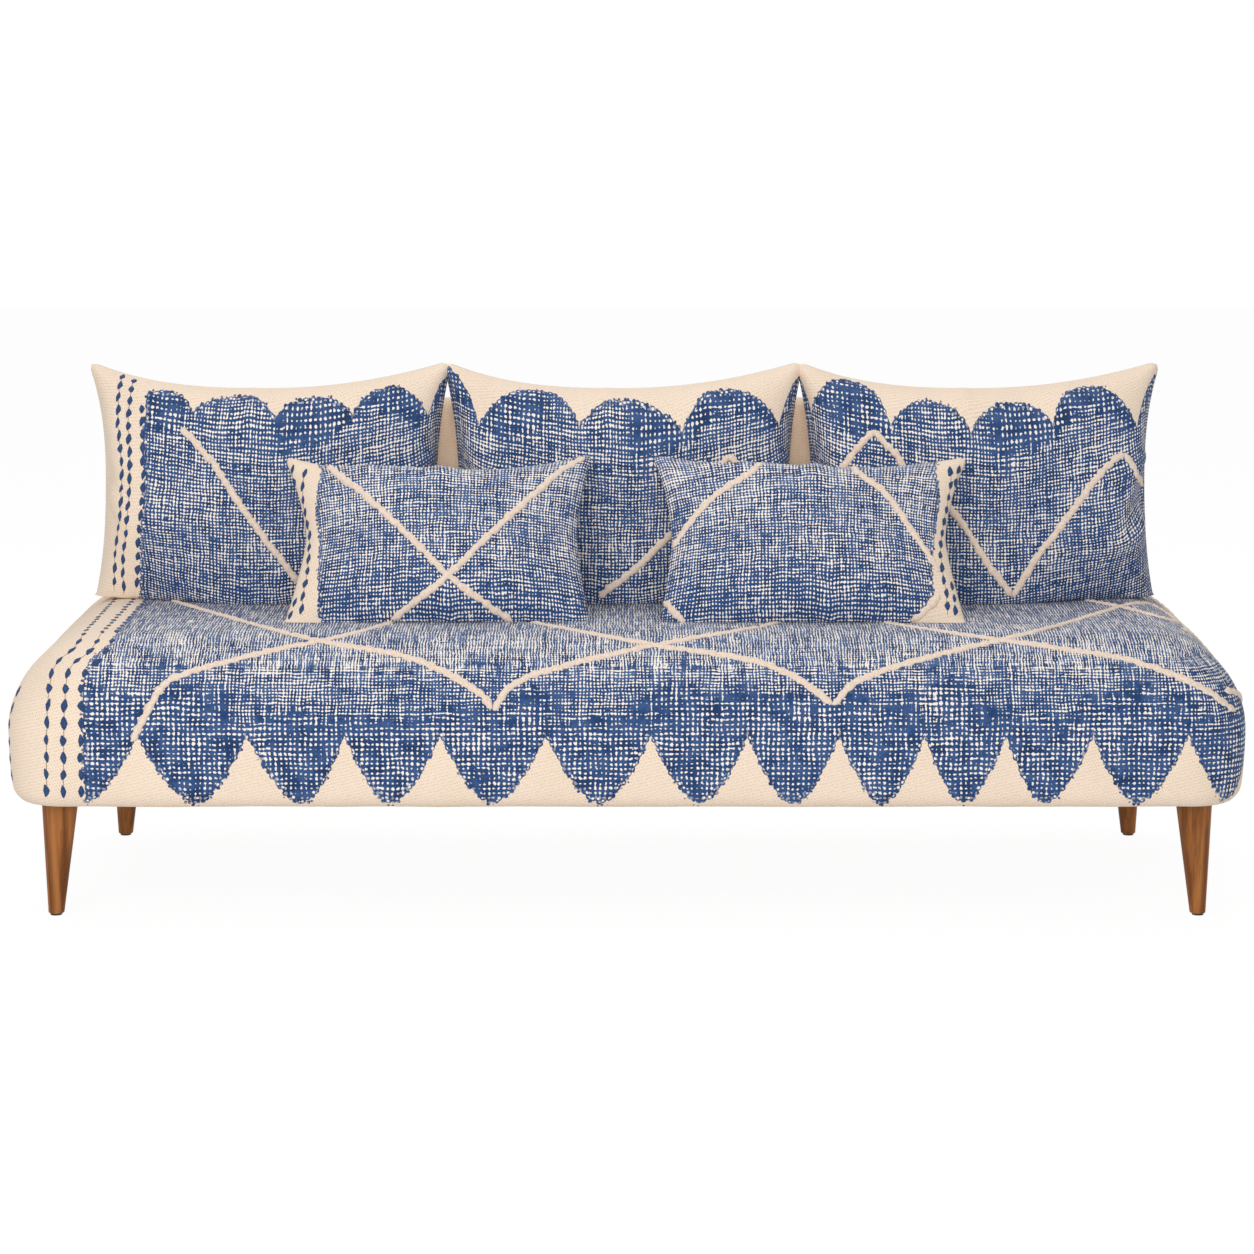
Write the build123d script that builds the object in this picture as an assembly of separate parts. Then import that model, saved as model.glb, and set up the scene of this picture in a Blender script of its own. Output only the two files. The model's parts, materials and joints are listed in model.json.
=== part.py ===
from build123d import *
import math
import os

# A three-seat majlis sofa, raised on four tapered legs. The origin is on the floor, under the
# middle of the seat. X runs along the sofa, Y runs from its front to its back, and Z is up.

# Seat
seat_length = 2000.0
seat_depth = 740.0
seat_height = 460.0
leg_length = 193.0
top_round = 150.0
rear_round = 36.0
under_tuck = 12.0
plan_corner = 90.0
corner_tightening_share = 0.6
cover_thickness = 3.0
hem_width = 118.0
dust_cover_thickness = 1.0
dust_cover_clearance = 0.5

# Timber frame
frame_inset = 52.0
rail_thickness = 30.0
rail_height = 90.0
corner_block_side = 75.0
cross_rail_count = 3
deck_thickness = 12.0

# Legs
leg_top_diameter = 60.0
leg_foot_diameter = 25.0
leg_splay = 2.9
front_foot_end_setback = 69.0
front_foot_setback = 85.0
rear_foot_end_setback = 97.0
rear_foot_setback = 68.0
foot_edge_round = 2.5
glide_diameter = 19.0
glide_height = 3.0
hanger_bolt_diameter = 8.0
hanger_bolt_in_leg = 40.0
hanger_bolt_in_insert = 26.0
insert_diameter = 12.0
insert_length = 20.0

# Backrest
backrest_end_setback = 110.0
backrest_height = 340.0
backrest_thickness = 88.0
backrest_lean = 11.0
backrest_round = 25.0
backrest_foam_thickness = 22.0
backrest_panel_thickness = 9.0
backrest_top_padding = 20.0
post_count = 4
post_width = 30.0
post_depth = 40.0
post_kink_drop = 20.0
post_clearance = 0.5
backrest_rail_height = 30.0

# Fasteners
bolt_diameter = 8.0
bolt_head_across = 13.0
bolt_head_height = 5.5
nut_height = 6.5
nut_pocket_diameter = 18.0
nut_pocket_depth = 9.0
bolt_row_spacing = 44.0
screw_diameter = 4.0
screw_head_diameter = 8.0
screw_head_height = 2.6
screw_length = 38.0
deck_screw_count = 6
panel_screw_length = 30.0

# Back cushions
cushion_count = 3
cushion_row_end_setback = 73.0
cushion_side_gap = 0.6
cushion_height = 440.0
cushion_front_crown = 118.0
cushion_rear_crown = 80.0
cushion_seam_setback = 60.0
cushion_top_sag = 52.0
cushion_side_sag = 32.0
cushion_settle = 80.0
cushion_sink = 45.0

# Lumbar cushions
lumbar_length = 515.0
lumbar_height = 318.0
lumbar_crown = 64.0
lumbar_top_sag = 26.0
lumbar_side_sag = 14.0
lumbar_lean = 38.0
lumbar_sink = 9.0
lumbar_left_shift = -9.0
lumbar_right_shift = 1.0
lumbar_left_turn = 0.8
lumbar_right_turn = -0.4

# Common to all cushions
cushion_corner = 14.0
corner_growth_share = 0.5
bottom_sag = 2.0
corner_bulge_share = 0.55
soft_clearance = 0.3
lift_clearance = 1.0

# Heights and places that follow from the sizes above
front_y = -seat_depth / 2
rear_y = seat_depth / 2
seat_underside = leg_length
belly_height = seat_height - top_round
frame_bottom = seat_underside + cover_thickness
frame_top = frame_bottom + rail_height
deck_top = frame_top + deck_thickness
frame_x = seat_length / 2 - frame_inset
frame_front = front_y + frame_inset
frame_rear = rear_y - frame_inset
block_x = frame_x - corner_block_side
rear_rail_front = frame_rear - rail_thickness
post_front = rear_rail_front - post_depth
overrun = seat_length
cushion_pitch = (seat_length - 2 * cushion_row_end_setback) / cushion_count

# Rounding angles of the seat's section, in degrees, and the levels of a cushion's half: each
# level is (depth, size, drawn-in, settle) as shares of the half's full values.
under_angles = (0, 25, 48, 70, 90)
top_angles = (18, 36, 54, 72, 90)
cushion_level_shares = (
    (1.0, 0.28, 0.02, 1.0),
    (0.955, 0.46, 0.06, 0.9),
    (0.85, 0.64, 0.18, 0.72),
    (0.6, 0.82, 0.45, 0.4),
    (0.27, 0.95, 0.82, 0.1),
    (0.0, 1.0, 1.0, 0.0),
)


def block(x0, x1, y0, y1, z0, z1):
    """A box between two corners."""
    centre = ((x0 + x1) / 2, (y0 + y1) / 2, (z0 + z1) / 2)
    return Pos(*centre) * Box(x1 - x0, y1 - y0, z1 - z0)


def rod(diameter, start, end):
    """A round bar from one point to another."""
    axis = Vector(*end) - Vector(*start)
    plane = Plane(origin=start, z_dir=axis)
    return extrude(plane * Circle(diameter / 2), axis.length)


def save(name, shape):
    """Write one sub-part, given as a solid or as a list of solids."""
    solids = shape if isinstance(shape, list) else shape.solids()
    whole = solids[0] if len(solids) == 1 else Compound(children=list(solids))
    export_step(whole, os.path.join("parts", name + ".step"))


# Seat


def seat_outline(z, side_inset, rear_inset, corner):
    """The seat's plan at one height: a rectangle with round corners."""
    x = seat_length / 2 - side_inset
    y0 = front_y + side_inset
    y1 = rear_y - rear_inset
    bend = corner * (1 - math.cos(math.radians(45)))
    edges = []
    corners = ((x, y0, 0, 1), (x, y1, -1, 0), (-x, y1, 0, -1), (-x, y0, 1, 0))
    starts = []
    for cx, cy, dx, dy in corners:
        before = (cx - corner * dy, cy + corner * dx, z)
        after = (cx + corner * dx, cy + corner * dy, z)
        middle = (cx - bend * dy + bend * dx, cy + bend * dx + bend * dy, z)
        starts.append((before, middle, after))
    for i, (before, middle, after) in enumerate(starts):
        edges.append(ThreePointArc(before, middle, after))
        edges.append(Line(after, starts[(i + 1) % len(starts)][0]))
    return Face(Wire(edges))


def seat_form(shrink):
    """The seat's upholstered shape, drawn in all round by a thickness."""
    radius = top_round - shrink
    rear_radius = rear_round - shrink
    drop = belly_height - seat_underside - shrink
    tuck = under_tuck - shrink
    sections = []
    for angle in under_angles:
        turn = math.radians(angle)
        inset = tuck * (1 - math.sin(turn))
        z = belly_height - drop * math.cos(turn)
        corner = plan_corner - shrink - inset * corner_tightening_share
        sections.append(seat_outline(z, shrink + inset, shrink + inset, corner))
    for angle in top_angles:
        turn = math.radians(angle)
        inset = radius * (1 - math.cos(turn))
        rear_inset = rear_radius * (1 - math.cos(turn))
        z = belly_height + radius * math.sin(turn)
        corner = plan_corner - shrink - inset * plan_corner / top_round * corner_tightening_share
        sections.append(seat_outline(z, shrink + inset, shrink + rear_inset, corner))
    return loft(sections)


def frame_block(z0, z1):
    """The space that the timber frame takes up, between two heights."""
    return block(-frame_x, frame_x, frame_front, frame_rear, z0, z1)


def hem_opening():
    """The opening in the cover under the seat."""
    inset = under_tuck + hem_width
    x = seat_length / 2 - inset
    return block(-x, x, front_y + inset, rear_y - inset, 0, frame_bottom)


def make_seat_soft_parts():
    """The cover, the foam on the deck, the padding round the frame and the dust cover."""
    outer = seat_form(0)
    inner = seat_form(cover_thickness)
    slots = [post(x, post_clearance) for x in post_places()]
    cover = outer - inner - hem_opening() - leg_holes()
    save("seat_cover", cover - slots)
    above = block(-overrun, overrun, -overrun, overrun, deck_top, overrun)
    save("seat_foam", (inner & above) - slots)
    beside = block(-overrun, overrun, -overrun, overrun, 0, deck_top)
    save("edge_padding", (inner & beside) - frame_block(0, deck_top))
    gap = under_tuck + hem_width + dust_cover_clearance
    x = seat_length / 2 - gap
    sheet_bottom = frame_bottom - dust_cover_thickness
    sheet = block(-x, x, front_y + gap, rear_y - gap, sheet_bottom, frame_bottom)
    save("dust_cover", sheet)


# Timber frame


def rail_ends():
    """Each end rail's outer face, as a sign of X."""
    return {"left": -1, "right": 1}


def make_frame():
    """Corner blocks, four rails, cross rails and the deck, with their holes."""
    nuts = [pocket for x in post_places() for pocket in nut_pockets(x)]
    bolts = [hole for x in post_places() for hole in bolt_holes(x)]
    screws = deck_screws()
    inserts = insert_holes()
    front = block(-block_x, block_x, frame_front, frame_front + rail_thickness, frame_bottom, frame_top)
    rear = block(-block_x, block_x, rear_rail_front, frame_rear, frame_bottom, frame_top)
    save("front_rail", front - screws)
    save("rear_rail", rear - nuts - bolts - screws)
    y0 = frame_front + corner_block_side
    y1 = frame_rear - corner_block_side
    for side, sign in rail_ends().items():
        x0, x1 = sorted((sign * (frame_x - rail_thickness), sign * frame_x))
        save(side + "_end_rail", block(x0, x1, y0, y1, frame_bottom, frame_top) - screws)
        x0, x1 = sorted((sign * block_x, sign * frame_x))
        front_block = block(x0, x1, frame_front, y0, frame_bottom, frame_top)
        rear_block = block(x0, x1, y1, frame_rear, frame_bottom, frame_top)
        save("corner_block_front_" + side, front_block - screws - inserts)
        save("corner_block_rear_" + side, rear_block - screws - inserts)
    y0 = frame_front + rail_thickness
    for i, x in enumerate(cross_rail_places()):
        half = rail_thickness / 2
        rail = block(x - half, x + half, y0, rear_rail_front, frame_bottom, frame_top)
        save("cross_rail_" + str(i + 1), rail - screws)
    slots = [post(x, post_clearance) for x in post_places()]
    save("deck", frame_block(frame_top, deck_top) - slots - screws)
    save("deck_screws", screws)


def cross_rail_places():
    """X of each cross rail, evenly spaced along the frame."""
    step = 2 * frame_x / (cross_rail_count + 1)
    return [step * (i + 1) - frame_x for i in range(cross_rail_count)]


def screw(x, y, top, length):
    """A countersunk screw that points down, with its head flush at the top."""
    head = Cone(screw_diameter / 2, screw_head_diameter / 2, screw_head_height)
    shank = rod(screw_diameter, (x, y, top - length), (x, y, top - screw_head_height))
    return Pos(x, y, top - screw_head_height / 2) * head + shank


def deck_screws():
    """Rows of screws through the deck into the front and rear rails and the end rails."""
    step = 2 * block_x / deck_screw_count
    row = [step * (i + 0.5) - block_x for i in range(deck_screw_count)]
    front = frame_front + rail_thickness / 2
    rear = frame_rear - rail_thickness / 2
    places = [(x, y) for x in row for y in (front, rear)]
    for sign in rail_ends().values():
        x = sign * (frame_x - rail_thickness / 2)
        places.append((x, (frame_front + frame_rear) / 2))
    return [screw(x, y, deck_top, screw_length) for x, y in places]


# Legs


def leg_places():
    """Each leg's name, with X and Y of its foot and of its top."""
    places = {}
    shift = leg_length * math.tan(math.radians(leg_splay))
    for end, end_setback, y, push in (
        ("front", front_foot_end_setback, front_y + front_foot_setback, 1),
        ("rear", rear_foot_end_setback, rear_y - rear_foot_setback, -1),
    ):
        x = seat_length / 2 - end_setback
        for side, sign in rail_ends().items():
            foot = (sign * x, y)
            top = (sign * (x - shift), y + push * shift)
            places[end + "_" + side] = (foot, top)
    return places


def make_legs():
    """Four tapered legs, with their glides, hanger bolts and threaded inserts."""
    glides = []
    bolts = []
    inserts = []
    for name, (foot, top) in leg_places().items():
        axis = Vector(top[0] - foot[0], top[1] - foot[1], leg_length)
        plane = Plane(origin=(foot[0], foot[1], 0), z_dir=axis)
        cone = Pos(0, 0, axis.length / 2) * Cone(leg_foot_diameter / 2, leg_top_diameter / 2, axis.length)
        tall = plane * cone
        reach = leg_top_diameter
        x, y = top
        inside = block(x - reach, x + reach, y - reach, y + reach, glide_height, leg_length)
        bolt_start = (x, y, seat_underside - hanger_bolt_in_leg)
        bolt_end = (x, y, frame_bottom + hanger_bolt_in_insert)
        bolt = rod(hanger_bolt_diameter, bolt_start, bolt_end)
        leg = tall & inside
        foot_edge = leg.faces().sort_by(Axis.Z)[0].edges()
        save("leg_" + name, fillet(foot_edge, foot_edge_round) - bolt)
        bolts.append(bolt.solid())
        glides.append(rod(glide_diameter, (*foot, 0), (*foot, glide_height)).solid())
        insert = rod(insert_diameter, (x, y, frame_bottom), (x, y, frame_bottom + insert_length))
        inserts.append((insert - bolt).solid())
    save("leg_glides", glides)
    save("hanger_bolts", bolts)
    save("threaded_inserts", inserts)


def leg_holes():
    """Holes in the cover for the hanger bolts."""
    tops = [top for foot, top in leg_places().values()]
    return [rod(hanger_bolt_diameter, (*top, seat_underside), (*top, frame_bottom)) for top in tops]


def insert_holes():
    """Holes in the corner blocks for the threaded inserts and the bolts' ends."""
    holes = []
    for foot, top in leg_places().values():
        insert_top = (*top, frame_bottom + insert_length)
        holes.append(rod(insert_diameter, (*top, frame_bottom), insert_top))
        bolt_top = (*top, frame_bottom + hanger_bolt_in_insert)
        holes.append(rod(hanger_bolt_diameter, insert_top, bolt_top))
    return holes


# Backrest

lean = math.radians(backrest_lean)
panel_front = cover_thickness + backrest_foam_thickness
post_layer = panel_front + backrest_panel_thickness
core_rear = post_layer + post_depth
core_top = backrest_height - cover_thickness - backrest_top_padding
post_top = core_top - backrest_rail_height
kink_along = (post_layer * math.sin(lean) - post_kink_drop) / math.cos(lean)
backrest_front_y = post_front - post_layer * math.cos(lean) - kink_along * math.sin(lean)
backrest_pose = Pos(0, backrest_front_y, seat_height) * Rot(-backrest_lean, 0, 0)
core_x = block_x
panel_low = (cover_thickness + post_layer * math.sin(lean)) / math.cos(lean)
core_low = (cover_thickness + core_rear * math.sin(lean)) / math.cos(lean)


def post_places():
    """X of each post's middle: the end posts stand against the rear corner blocks."""
    step = (2 * block_x - post_width) / (post_count - 1)
    return [step * i - (block_x - post_width / 2) for i in range(post_count)]


def post(x, clearance):
    """A post: upright on the rear rail, then leaning up inside the backrest."""
    near = post_layer - clearance
    far = core_rear + clearance
    near_along = (post_front - backrest_front_y - post_layer * math.cos(lean)) / math.sin(lean)
    far_along = (rear_rail_front - backrest_front_y - core_rear * math.cos(lean)) / math.sin(lean)
    top = post_top + clearance
    outline = Polyline(
        (post_front - clearance, frame_bottom),
        (post_front - clearance, leaning_height(near, near_along)),
        leaning_point(near, top),
        leaning_point(far, top),
        (rear_rail_front + clearance, leaning_height(far, far_along)),
        (rear_rail_front + clearance, frame_bottom),
        close=True,
    )
    width = post_width + 2 * clearance
    side = Plane(origin=(x - width / 2, 0, 0), x_dir=(0, 1, 0), z_dir=(1, 0, 0))
    return extrude(side * make_face(outline), width)


def leaning_point(depth, along):
    """Y and Z of a point in the backrest, from its depth and its distance up the lean."""
    y = backrest_front_y + depth * math.cos(lean) + along * math.sin(lean)
    return (y, leaning_height(depth, along))


def leaning_height(depth, along):
    """Z of a point in the backrest."""
    return seat_height + along * math.cos(lean) - depth * math.sin(lean)


def backrest_block(x0, x1, depth0, depth1, along0, along1):
    """A box in the leaning frame of the backrest."""
    return backrest_pose * block(x0, x1, depth0, depth1, along0, along1)


def backrest_form(shrink):
    """The backrest's upholstered shape, which stands flat on the seat."""
    x = seat_length / 2 - backrest_end_setback - shrink
    far = backrest_thickness - shrink
    tall = block(-x, x, shrink, far, -backrest_thickness, backrest_height - shrink)
    edges = [e for e in tall.edges() if e.center().Z > -backrest_thickness]
    slab = backrest_pose * fillet(edges, backrest_round - shrink)
    return slab & block(-overrun, overrun, -overrun, overrun, seat_height + shrink, overrun)


def make_backrest():
    """Posts, rails, panel, foam, wadding, cover and fasteners."""
    places = post_places()
    for i, x in enumerate(places):
        save("back_post_" + str(i + 1), post(x, 0) - bolt_holes(x) - panel_screws())
    rail_bottom = post_top
    top_rail = backrest_block(-core_x, core_x, post_layer, core_rear, rail_bottom, core_top)
    save("backrest_top_rail", top_rail)
    for i in range(post_count - 1):
        x0 = places[i] + post_width / 2
        x1 = places[i + 1] - post_width / 2
        high = core_low + backrest_rail_height
        rail = backrest_block(x0, x1, post_layer, core_rear, core_low, high)
        save("backrest_bottom_rail_" + str(i + 1), rail)
    panel = backrest_block(-core_x, core_x, panel_front, post_layer, panel_low, core_top)
    save("backrest_panel", panel - panel_screws())
    save("panel_screws", panel_screws())
    outer = backrest_form(0)
    inner = backrest_form(cover_thickness)
    slots = [post(x, post_clearance) for x in places]
    save("backrest_cover", outer - inner - slots)
    ahead = backrest_block(-overrun, overrun, -overrun, panel_front, -overrun, overrun)
    save("backrest_foam", inner & ahead)
    core = backrest_block(-core_x, core_x, 0, core_rear, -overrun, core_top)
    save("backrest_wadding", inner - ahead - core)
    make_post_bolts()


def panel_screws():
    """Screws that hold the panel to the posts, in the leaning frame."""
    found = []
    for x in post_places():
        for along in (core_low + backrest_rail_height, post_top - backrest_rail_height):
            upright = screw(0, 0, 0, panel_screw_length)
            laid = Pos(x, panel_front, along) * Rot(90, 0, 0) * upright
            found.append((backrest_pose * laid).solid())
    return found


def bolt_heights():
    """Z of the two bolts that hold each post to the rear rail."""
    middle = (frame_bottom + frame_top) / 2
    return (middle - bolt_row_spacing / 2, middle + bolt_row_spacing / 2)


def bolt_holes(x):
    """The bolts' holes through one post and the rear rail."""
    return [rod(bolt_diameter, (x, post_front, z), (x, frame_rear, z)) for z in bolt_heights()]


def nut_pockets(x):
    """Pockets in the rear rail for the nuts behind one post."""
    y = frame_rear - nut_pocket_depth
    return [rod(nut_pocket_diameter, (x, y, z), (x, frame_rear, z)) for z in bolt_heights()]


def hexagon(x, y, z, height):
    """A hexagon bar along Y, for a bolt's head or a nut."""
    plane = Plane(origin=(x, y, z), z_dir=(0, 1, 0))
    return extrude(plane * RegularPolygon(bolt_head_across / 2, 6, major_radius=False), height)


def make_post_bolts():
    """Hexagon bolts through the posts, and the nuts on them."""
    bolts = []
    nuts = []
    seat = frame_rear - nut_pocket_depth
    for x in post_places():
        for z in bolt_heights():
            shank = rod(bolt_diameter, (x, post_front, z), (x, seat + nut_height, z))
            head = hexagon(x, post_front - bolt_head_height, z, bolt_head_height)
            bolts.append((shank + head).solid())
            nuts.append((hexagon(x, seat, z, nut_height) - shank).solid())
    save("post_bolts", bolts)
    save("post_nuts", nuts)


# Cushions


def cushion_outline(half_width, low, high, sags, corner, y):
    """A cushion's outline at one depth: four drawn-in sides and four small round corners."""
    corners = ((-half_width, low), (half_width, low), (half_width, high), (-half_width, high))
    sides = []
    for i, start in enumerate(corners):
        end = corners[(i + 1) % len(corners)]
        length = math.dist(start, end)
        along = ((end[0] - start[0]) / length, (end[1] - start[1]) / length)
        inward = (-along[1], along[0])
        share = corner / length
        lift = 4 * share * (1 - share) * sags[i]
        points = []
        for distance, draw in ((corner, lift), (length / 2, sags[i]), (length - corner, lift)):
            x = start[0] + along[0] * distance + inward[0] * draw
            z = start[1] + along[1] * distance + inward[1] * draw
            points.append((x, y, z))
        sides.append(points)
    edges = []
    for i, points in enumerate(sides):
        edges.append(ThreePointArc(*points))
        after = sides[(i + 1) % len(sides)][0]
        tip = corners[(i + 1) % len(corners)]
        x = (points[2][0] + after[0]) / 2 * (1 - corner_bulge_share) + tip[0] * corner_bulge_share
        z = (points[2][2] + after[2]) / 2 * (1 - corner_bulge_share) + tip[1] * corner_bulge_share
        edges.append(ThreePointArc(points[2], (x, y, z), after))
    return Face(Wire(edges))


def cushion_half(width, height, crown, side_sag, top_sag, settle, shrink):
    """One half of a cushion, from its crown to its seam; a negative crown points to the front."""
    depth = crown - math.copysign(shrink, crown)
    sections = []
    for deep, size, drawn, settled in cushion_level_shares:
        middle = -settle * settled
        half_height = height / 2 * size - shrink
        sags = (bottom_sag, side_sag * drawn, top_sag * drawn, side_sag * drawn)
        corner = cushion_corner + corner_growth_share * half_height * (1 - size)
        half_width = width / 2 * size - shrink
        low = middle - half_height
        high = middle + half_height
        sections.append(cushion_outline(half_width, low, high, sags, corner, depth * deep))
    return loft(sections)


def back_cushion_form(shrink):
    """A back cushion about its own middle, with a fuller front than rear."""
    width = cushion_pitch - cushion_side_gap
    sizes = (cushion_side_sag, cushion_top_sag, cushion_settle, shrink)
    front = cushion_half(width, cushion_height, -cushion_front_crown, *sizes)
    return front + cushion_half(width, cushion_height, cushion_rear_crown, *sizes)


def lumbar_form(shrink):
    """A lumbar cushion about its own middle."""
    sizes = (lumbar_side_sag, lumbar_top_sag, 0, shrink)
    front = cushion_half(lumbar_length, lumbar_height, -lumbar_crown, *sizes)
    return front + cushion_half(lumbar_length, lumbar_height, lumbar_crown, *sizes)


def above_seat(shrink):
    """All the space over the seat's top, less the cushion's clearance."""
    z = seat_height + soft_clearance + shrink
    return block(-overrun, overrun, -overrun, overrun, z, overrun)


def make_back_cushion():
    """One back cushion at the sofa's middle: its whole solid and its fill."""
    low_along = cushion_height / 2 - cushion_sink
    pose = backrest_pose * Pos(0, -cushion_seam_setback, low_along)
    solids = []
    for shrink in (0, cover_thickness):
        depth = soft_clearance + shrink
        ahead = backrest_block(-overrun, overrun, -overrun, -depth, -overrun, overrun)
        solids.append((pose * back_cushion_form(shrink)) & ahead & above_seat(shrink))
    return solids


def make_lumbar_cushion(x, turn):
    """One lumbar cushion on the seat, leant back to the plane of the back cushions' crowns."""
    pose = Rot(-lumbar_lean, 0, 0) * Rot(0, turn, 0)
    outer = pose * lumbar_form(0)
    height = seat_height - lumbar_sink - outer.bounding_box().min.Z
    stood = Pos(x, 0, height)
    behind = (backrest_pose.inverse() * stood * outer).bounding_box().max.Y
    plane_depth = -(cushion_seam_setback + cushion_front_crown + lift_clearance)
    place = Pos(0, (plane_depth - behind) / math.cos(lean), 0) * stood
    inner = pose * lumbar_form(cover_thickness)
    return (place * outer) & above_seat(0), (place * inner) & above_seat(cover_thickness)


def make_cushions():
    """Three back cushions in a row, and two lumbar cushions over the gaps between them."""
    whole, fill = make_back_cushion()
    cover = whole - fill
    for i, name in enumerate(("left", "centre", "right")):
        shift = Pos(cushion_pitch * (i - (cushion_count - 1) / 2), 0, 0)
        save("back_cushion_" + name + "_cover", shift * cover)
        save("back_cushion_" + name + "_fill", shift * fill)
    for name, x, turn in (
        ("left", lumbar_left_shift - cushion_pitch / 2, lumbar_left_turn),
        ("right", lumbar_right_shift + cushion_pitch / 2, lumbar_right_turn),
    ):
        outer, inner = make_lumbar_cushion(x, turn)
        save("lumbar_cushion_" + name + "_cover", outer - inner)
        save("lumbar_cushion_" + name + "_fill", inner)


make_seat_soft_parts()
make_frame()
make_legs()
make_backrest()
make_cushions()
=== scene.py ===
import json
import math
import random
from bisect import bisect_right

import bmesh
import bpy
from mathutils import Matrix, Vector, noise
from mathutils.bvhtree import BVHTree
from mathutils.interpolate import poly_3d_calc


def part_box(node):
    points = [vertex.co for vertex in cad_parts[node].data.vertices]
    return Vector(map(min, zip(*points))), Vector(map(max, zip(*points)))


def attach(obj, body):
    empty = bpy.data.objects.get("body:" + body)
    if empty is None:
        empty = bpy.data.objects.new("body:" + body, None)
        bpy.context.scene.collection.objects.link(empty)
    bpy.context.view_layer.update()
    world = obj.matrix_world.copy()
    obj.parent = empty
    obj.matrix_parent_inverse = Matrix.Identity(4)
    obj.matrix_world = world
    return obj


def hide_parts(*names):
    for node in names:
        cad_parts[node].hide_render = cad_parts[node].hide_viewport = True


# A three-seat majlis sofa in indigo block-printed cotton. All lengths are metres.

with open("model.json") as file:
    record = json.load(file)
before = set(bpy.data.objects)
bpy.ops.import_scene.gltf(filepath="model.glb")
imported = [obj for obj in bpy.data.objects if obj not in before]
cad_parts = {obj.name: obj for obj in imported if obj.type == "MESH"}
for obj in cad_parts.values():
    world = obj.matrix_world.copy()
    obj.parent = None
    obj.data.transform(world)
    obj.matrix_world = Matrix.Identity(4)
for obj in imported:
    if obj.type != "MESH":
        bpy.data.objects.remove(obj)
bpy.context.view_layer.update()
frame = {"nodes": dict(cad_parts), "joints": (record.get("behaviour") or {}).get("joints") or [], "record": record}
nodes = frame["nodes"]
scene = bpy.context.scene

# Camera, as the photograph has it
photo_side = 1254.0
camera_place = Vector((0.0, -5.684, 1.359))
camera_dip = math.radians(9.3)
sensor_width = 36.0
focal_pixels = 3400.0

# Seat shape, the same as the solid's
seat_low, seat_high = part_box("seat_cover")
seat_half_length = seat_high.x
front_y = seat_low.y
rear_y = seat_high.y
seat_bottom = seat_low.z
seat_top = seat_high.z
top_round = 0.150
rear_round = 0.036
under_tuck = 0.012
plan_corner = 0.090
corner_tightening = 0.6
hem_width = 0.118
hem_round = 0.007
hem_rise = 0.0028
hem_corner = 0.012
hem_cloth_step = 0.002
flat_print_share = 0.42
belly_z = seat_top - top_round
face_height = belly_z - seat_bottom
round_length = top_round * math.pi / 2
seat_cell = 0.0125
rounding_steps = 17
face_steps = 9
broad_unevenness = 0.0016
small_unevenness = 0.0007

# Backrest
backrest_thickness = 0.088
backrest_height = 0.340
backrest_round = 0.025
backrest_cuts = 40
backrest_rows = 9

# Back cushions and lumbar cushions: each back cushion's middle and width, the flat bags that are filled, and the
# lines that their seams come to
lean = math.atan2(frame["joints"][0]["axis"][1], frame["joints"][0]["axis"][2])
rest_gap = 0.0003
cushion_places = {"left": (-0.6220, 0.6174), "centre": (-0.0065, 0.6110), "right": (0.6110, 0.6205)}
cushion_bag = {"panel": (0.640, 0.470), "cell": 0.0105, "volume": 0.020, "trial_crown": 0.098}
cushion_height = 0.446
cushion_front_crown = 0.118
cushion_rear_crown = 0.080
cushion_seam_setback = 0.060
cushion_low_along = 0.175
cushion_settle = 0.080
cushion_sags = {
    "back_cushion_left": {"top": 0.050, "low": 0.003, "left": 0.024, "right": 0.018, "flare": 0.0096},
    "back_cushion_centre": {"top": 0.050, "low": 0.003, "left": 0.020, "right": 0.018, "flare": 0.0096},
    "back_cushion_right": {"top": 0.050, "low": 0.003, "left": 0.020, "right": 0.021, "flare": 0.0096},
}
cushion_bows = (2.8, 2.0)
cushion_side_bows = {
    "back_cushion_left": (2.4, 1.5),
    "back_cushion_centre": (1.5, 1.5),
    "back_cushion_right": (1.5, 2.4),
}
cushion_corners = {"top": 0.022, "low": 0.026}
lumbar_bag = {"panel": (0.532, 0.336), "cell": 0.0085, "volume": 0.0078, "trial_crown": 0.064}
lumbar_turns = {"left": -0.8, "right": 0.4}
lumbar_width = 0.515
lumbar_height = 0.330
lumbar_crown = 0.064
lumbar_sags = {
    "lumbar_cushion_left": {"top": 0.040, "low": 0.001, "left": 0.038, "right": 0.023, "flare": 0.006},
    "lumbar_cushion_right": {"top": 0.026, "low": 0.006, "left": 0.022, "right": 0.034, "flare": 0.013},
}
lumbar_bows = (2.2, 2.2)
lumbar_side_bows = (1.4, 1.4)
lumbar_corners = {"top": 0.018, "low": 0.024}
lumbar_droop = 0.016
lumbar_spread = 0.010
droop_reach = 0.10
droop_power = 1.5
lumbar_lean = math.radians(38)
first_bulge = 0.004
cloth_stiffness = 30.0
blow_frames = 22
smoothing_rounds = 3
seam_crease = 0.55
seam_reach = 2.5
sink_power = 1.9

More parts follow.
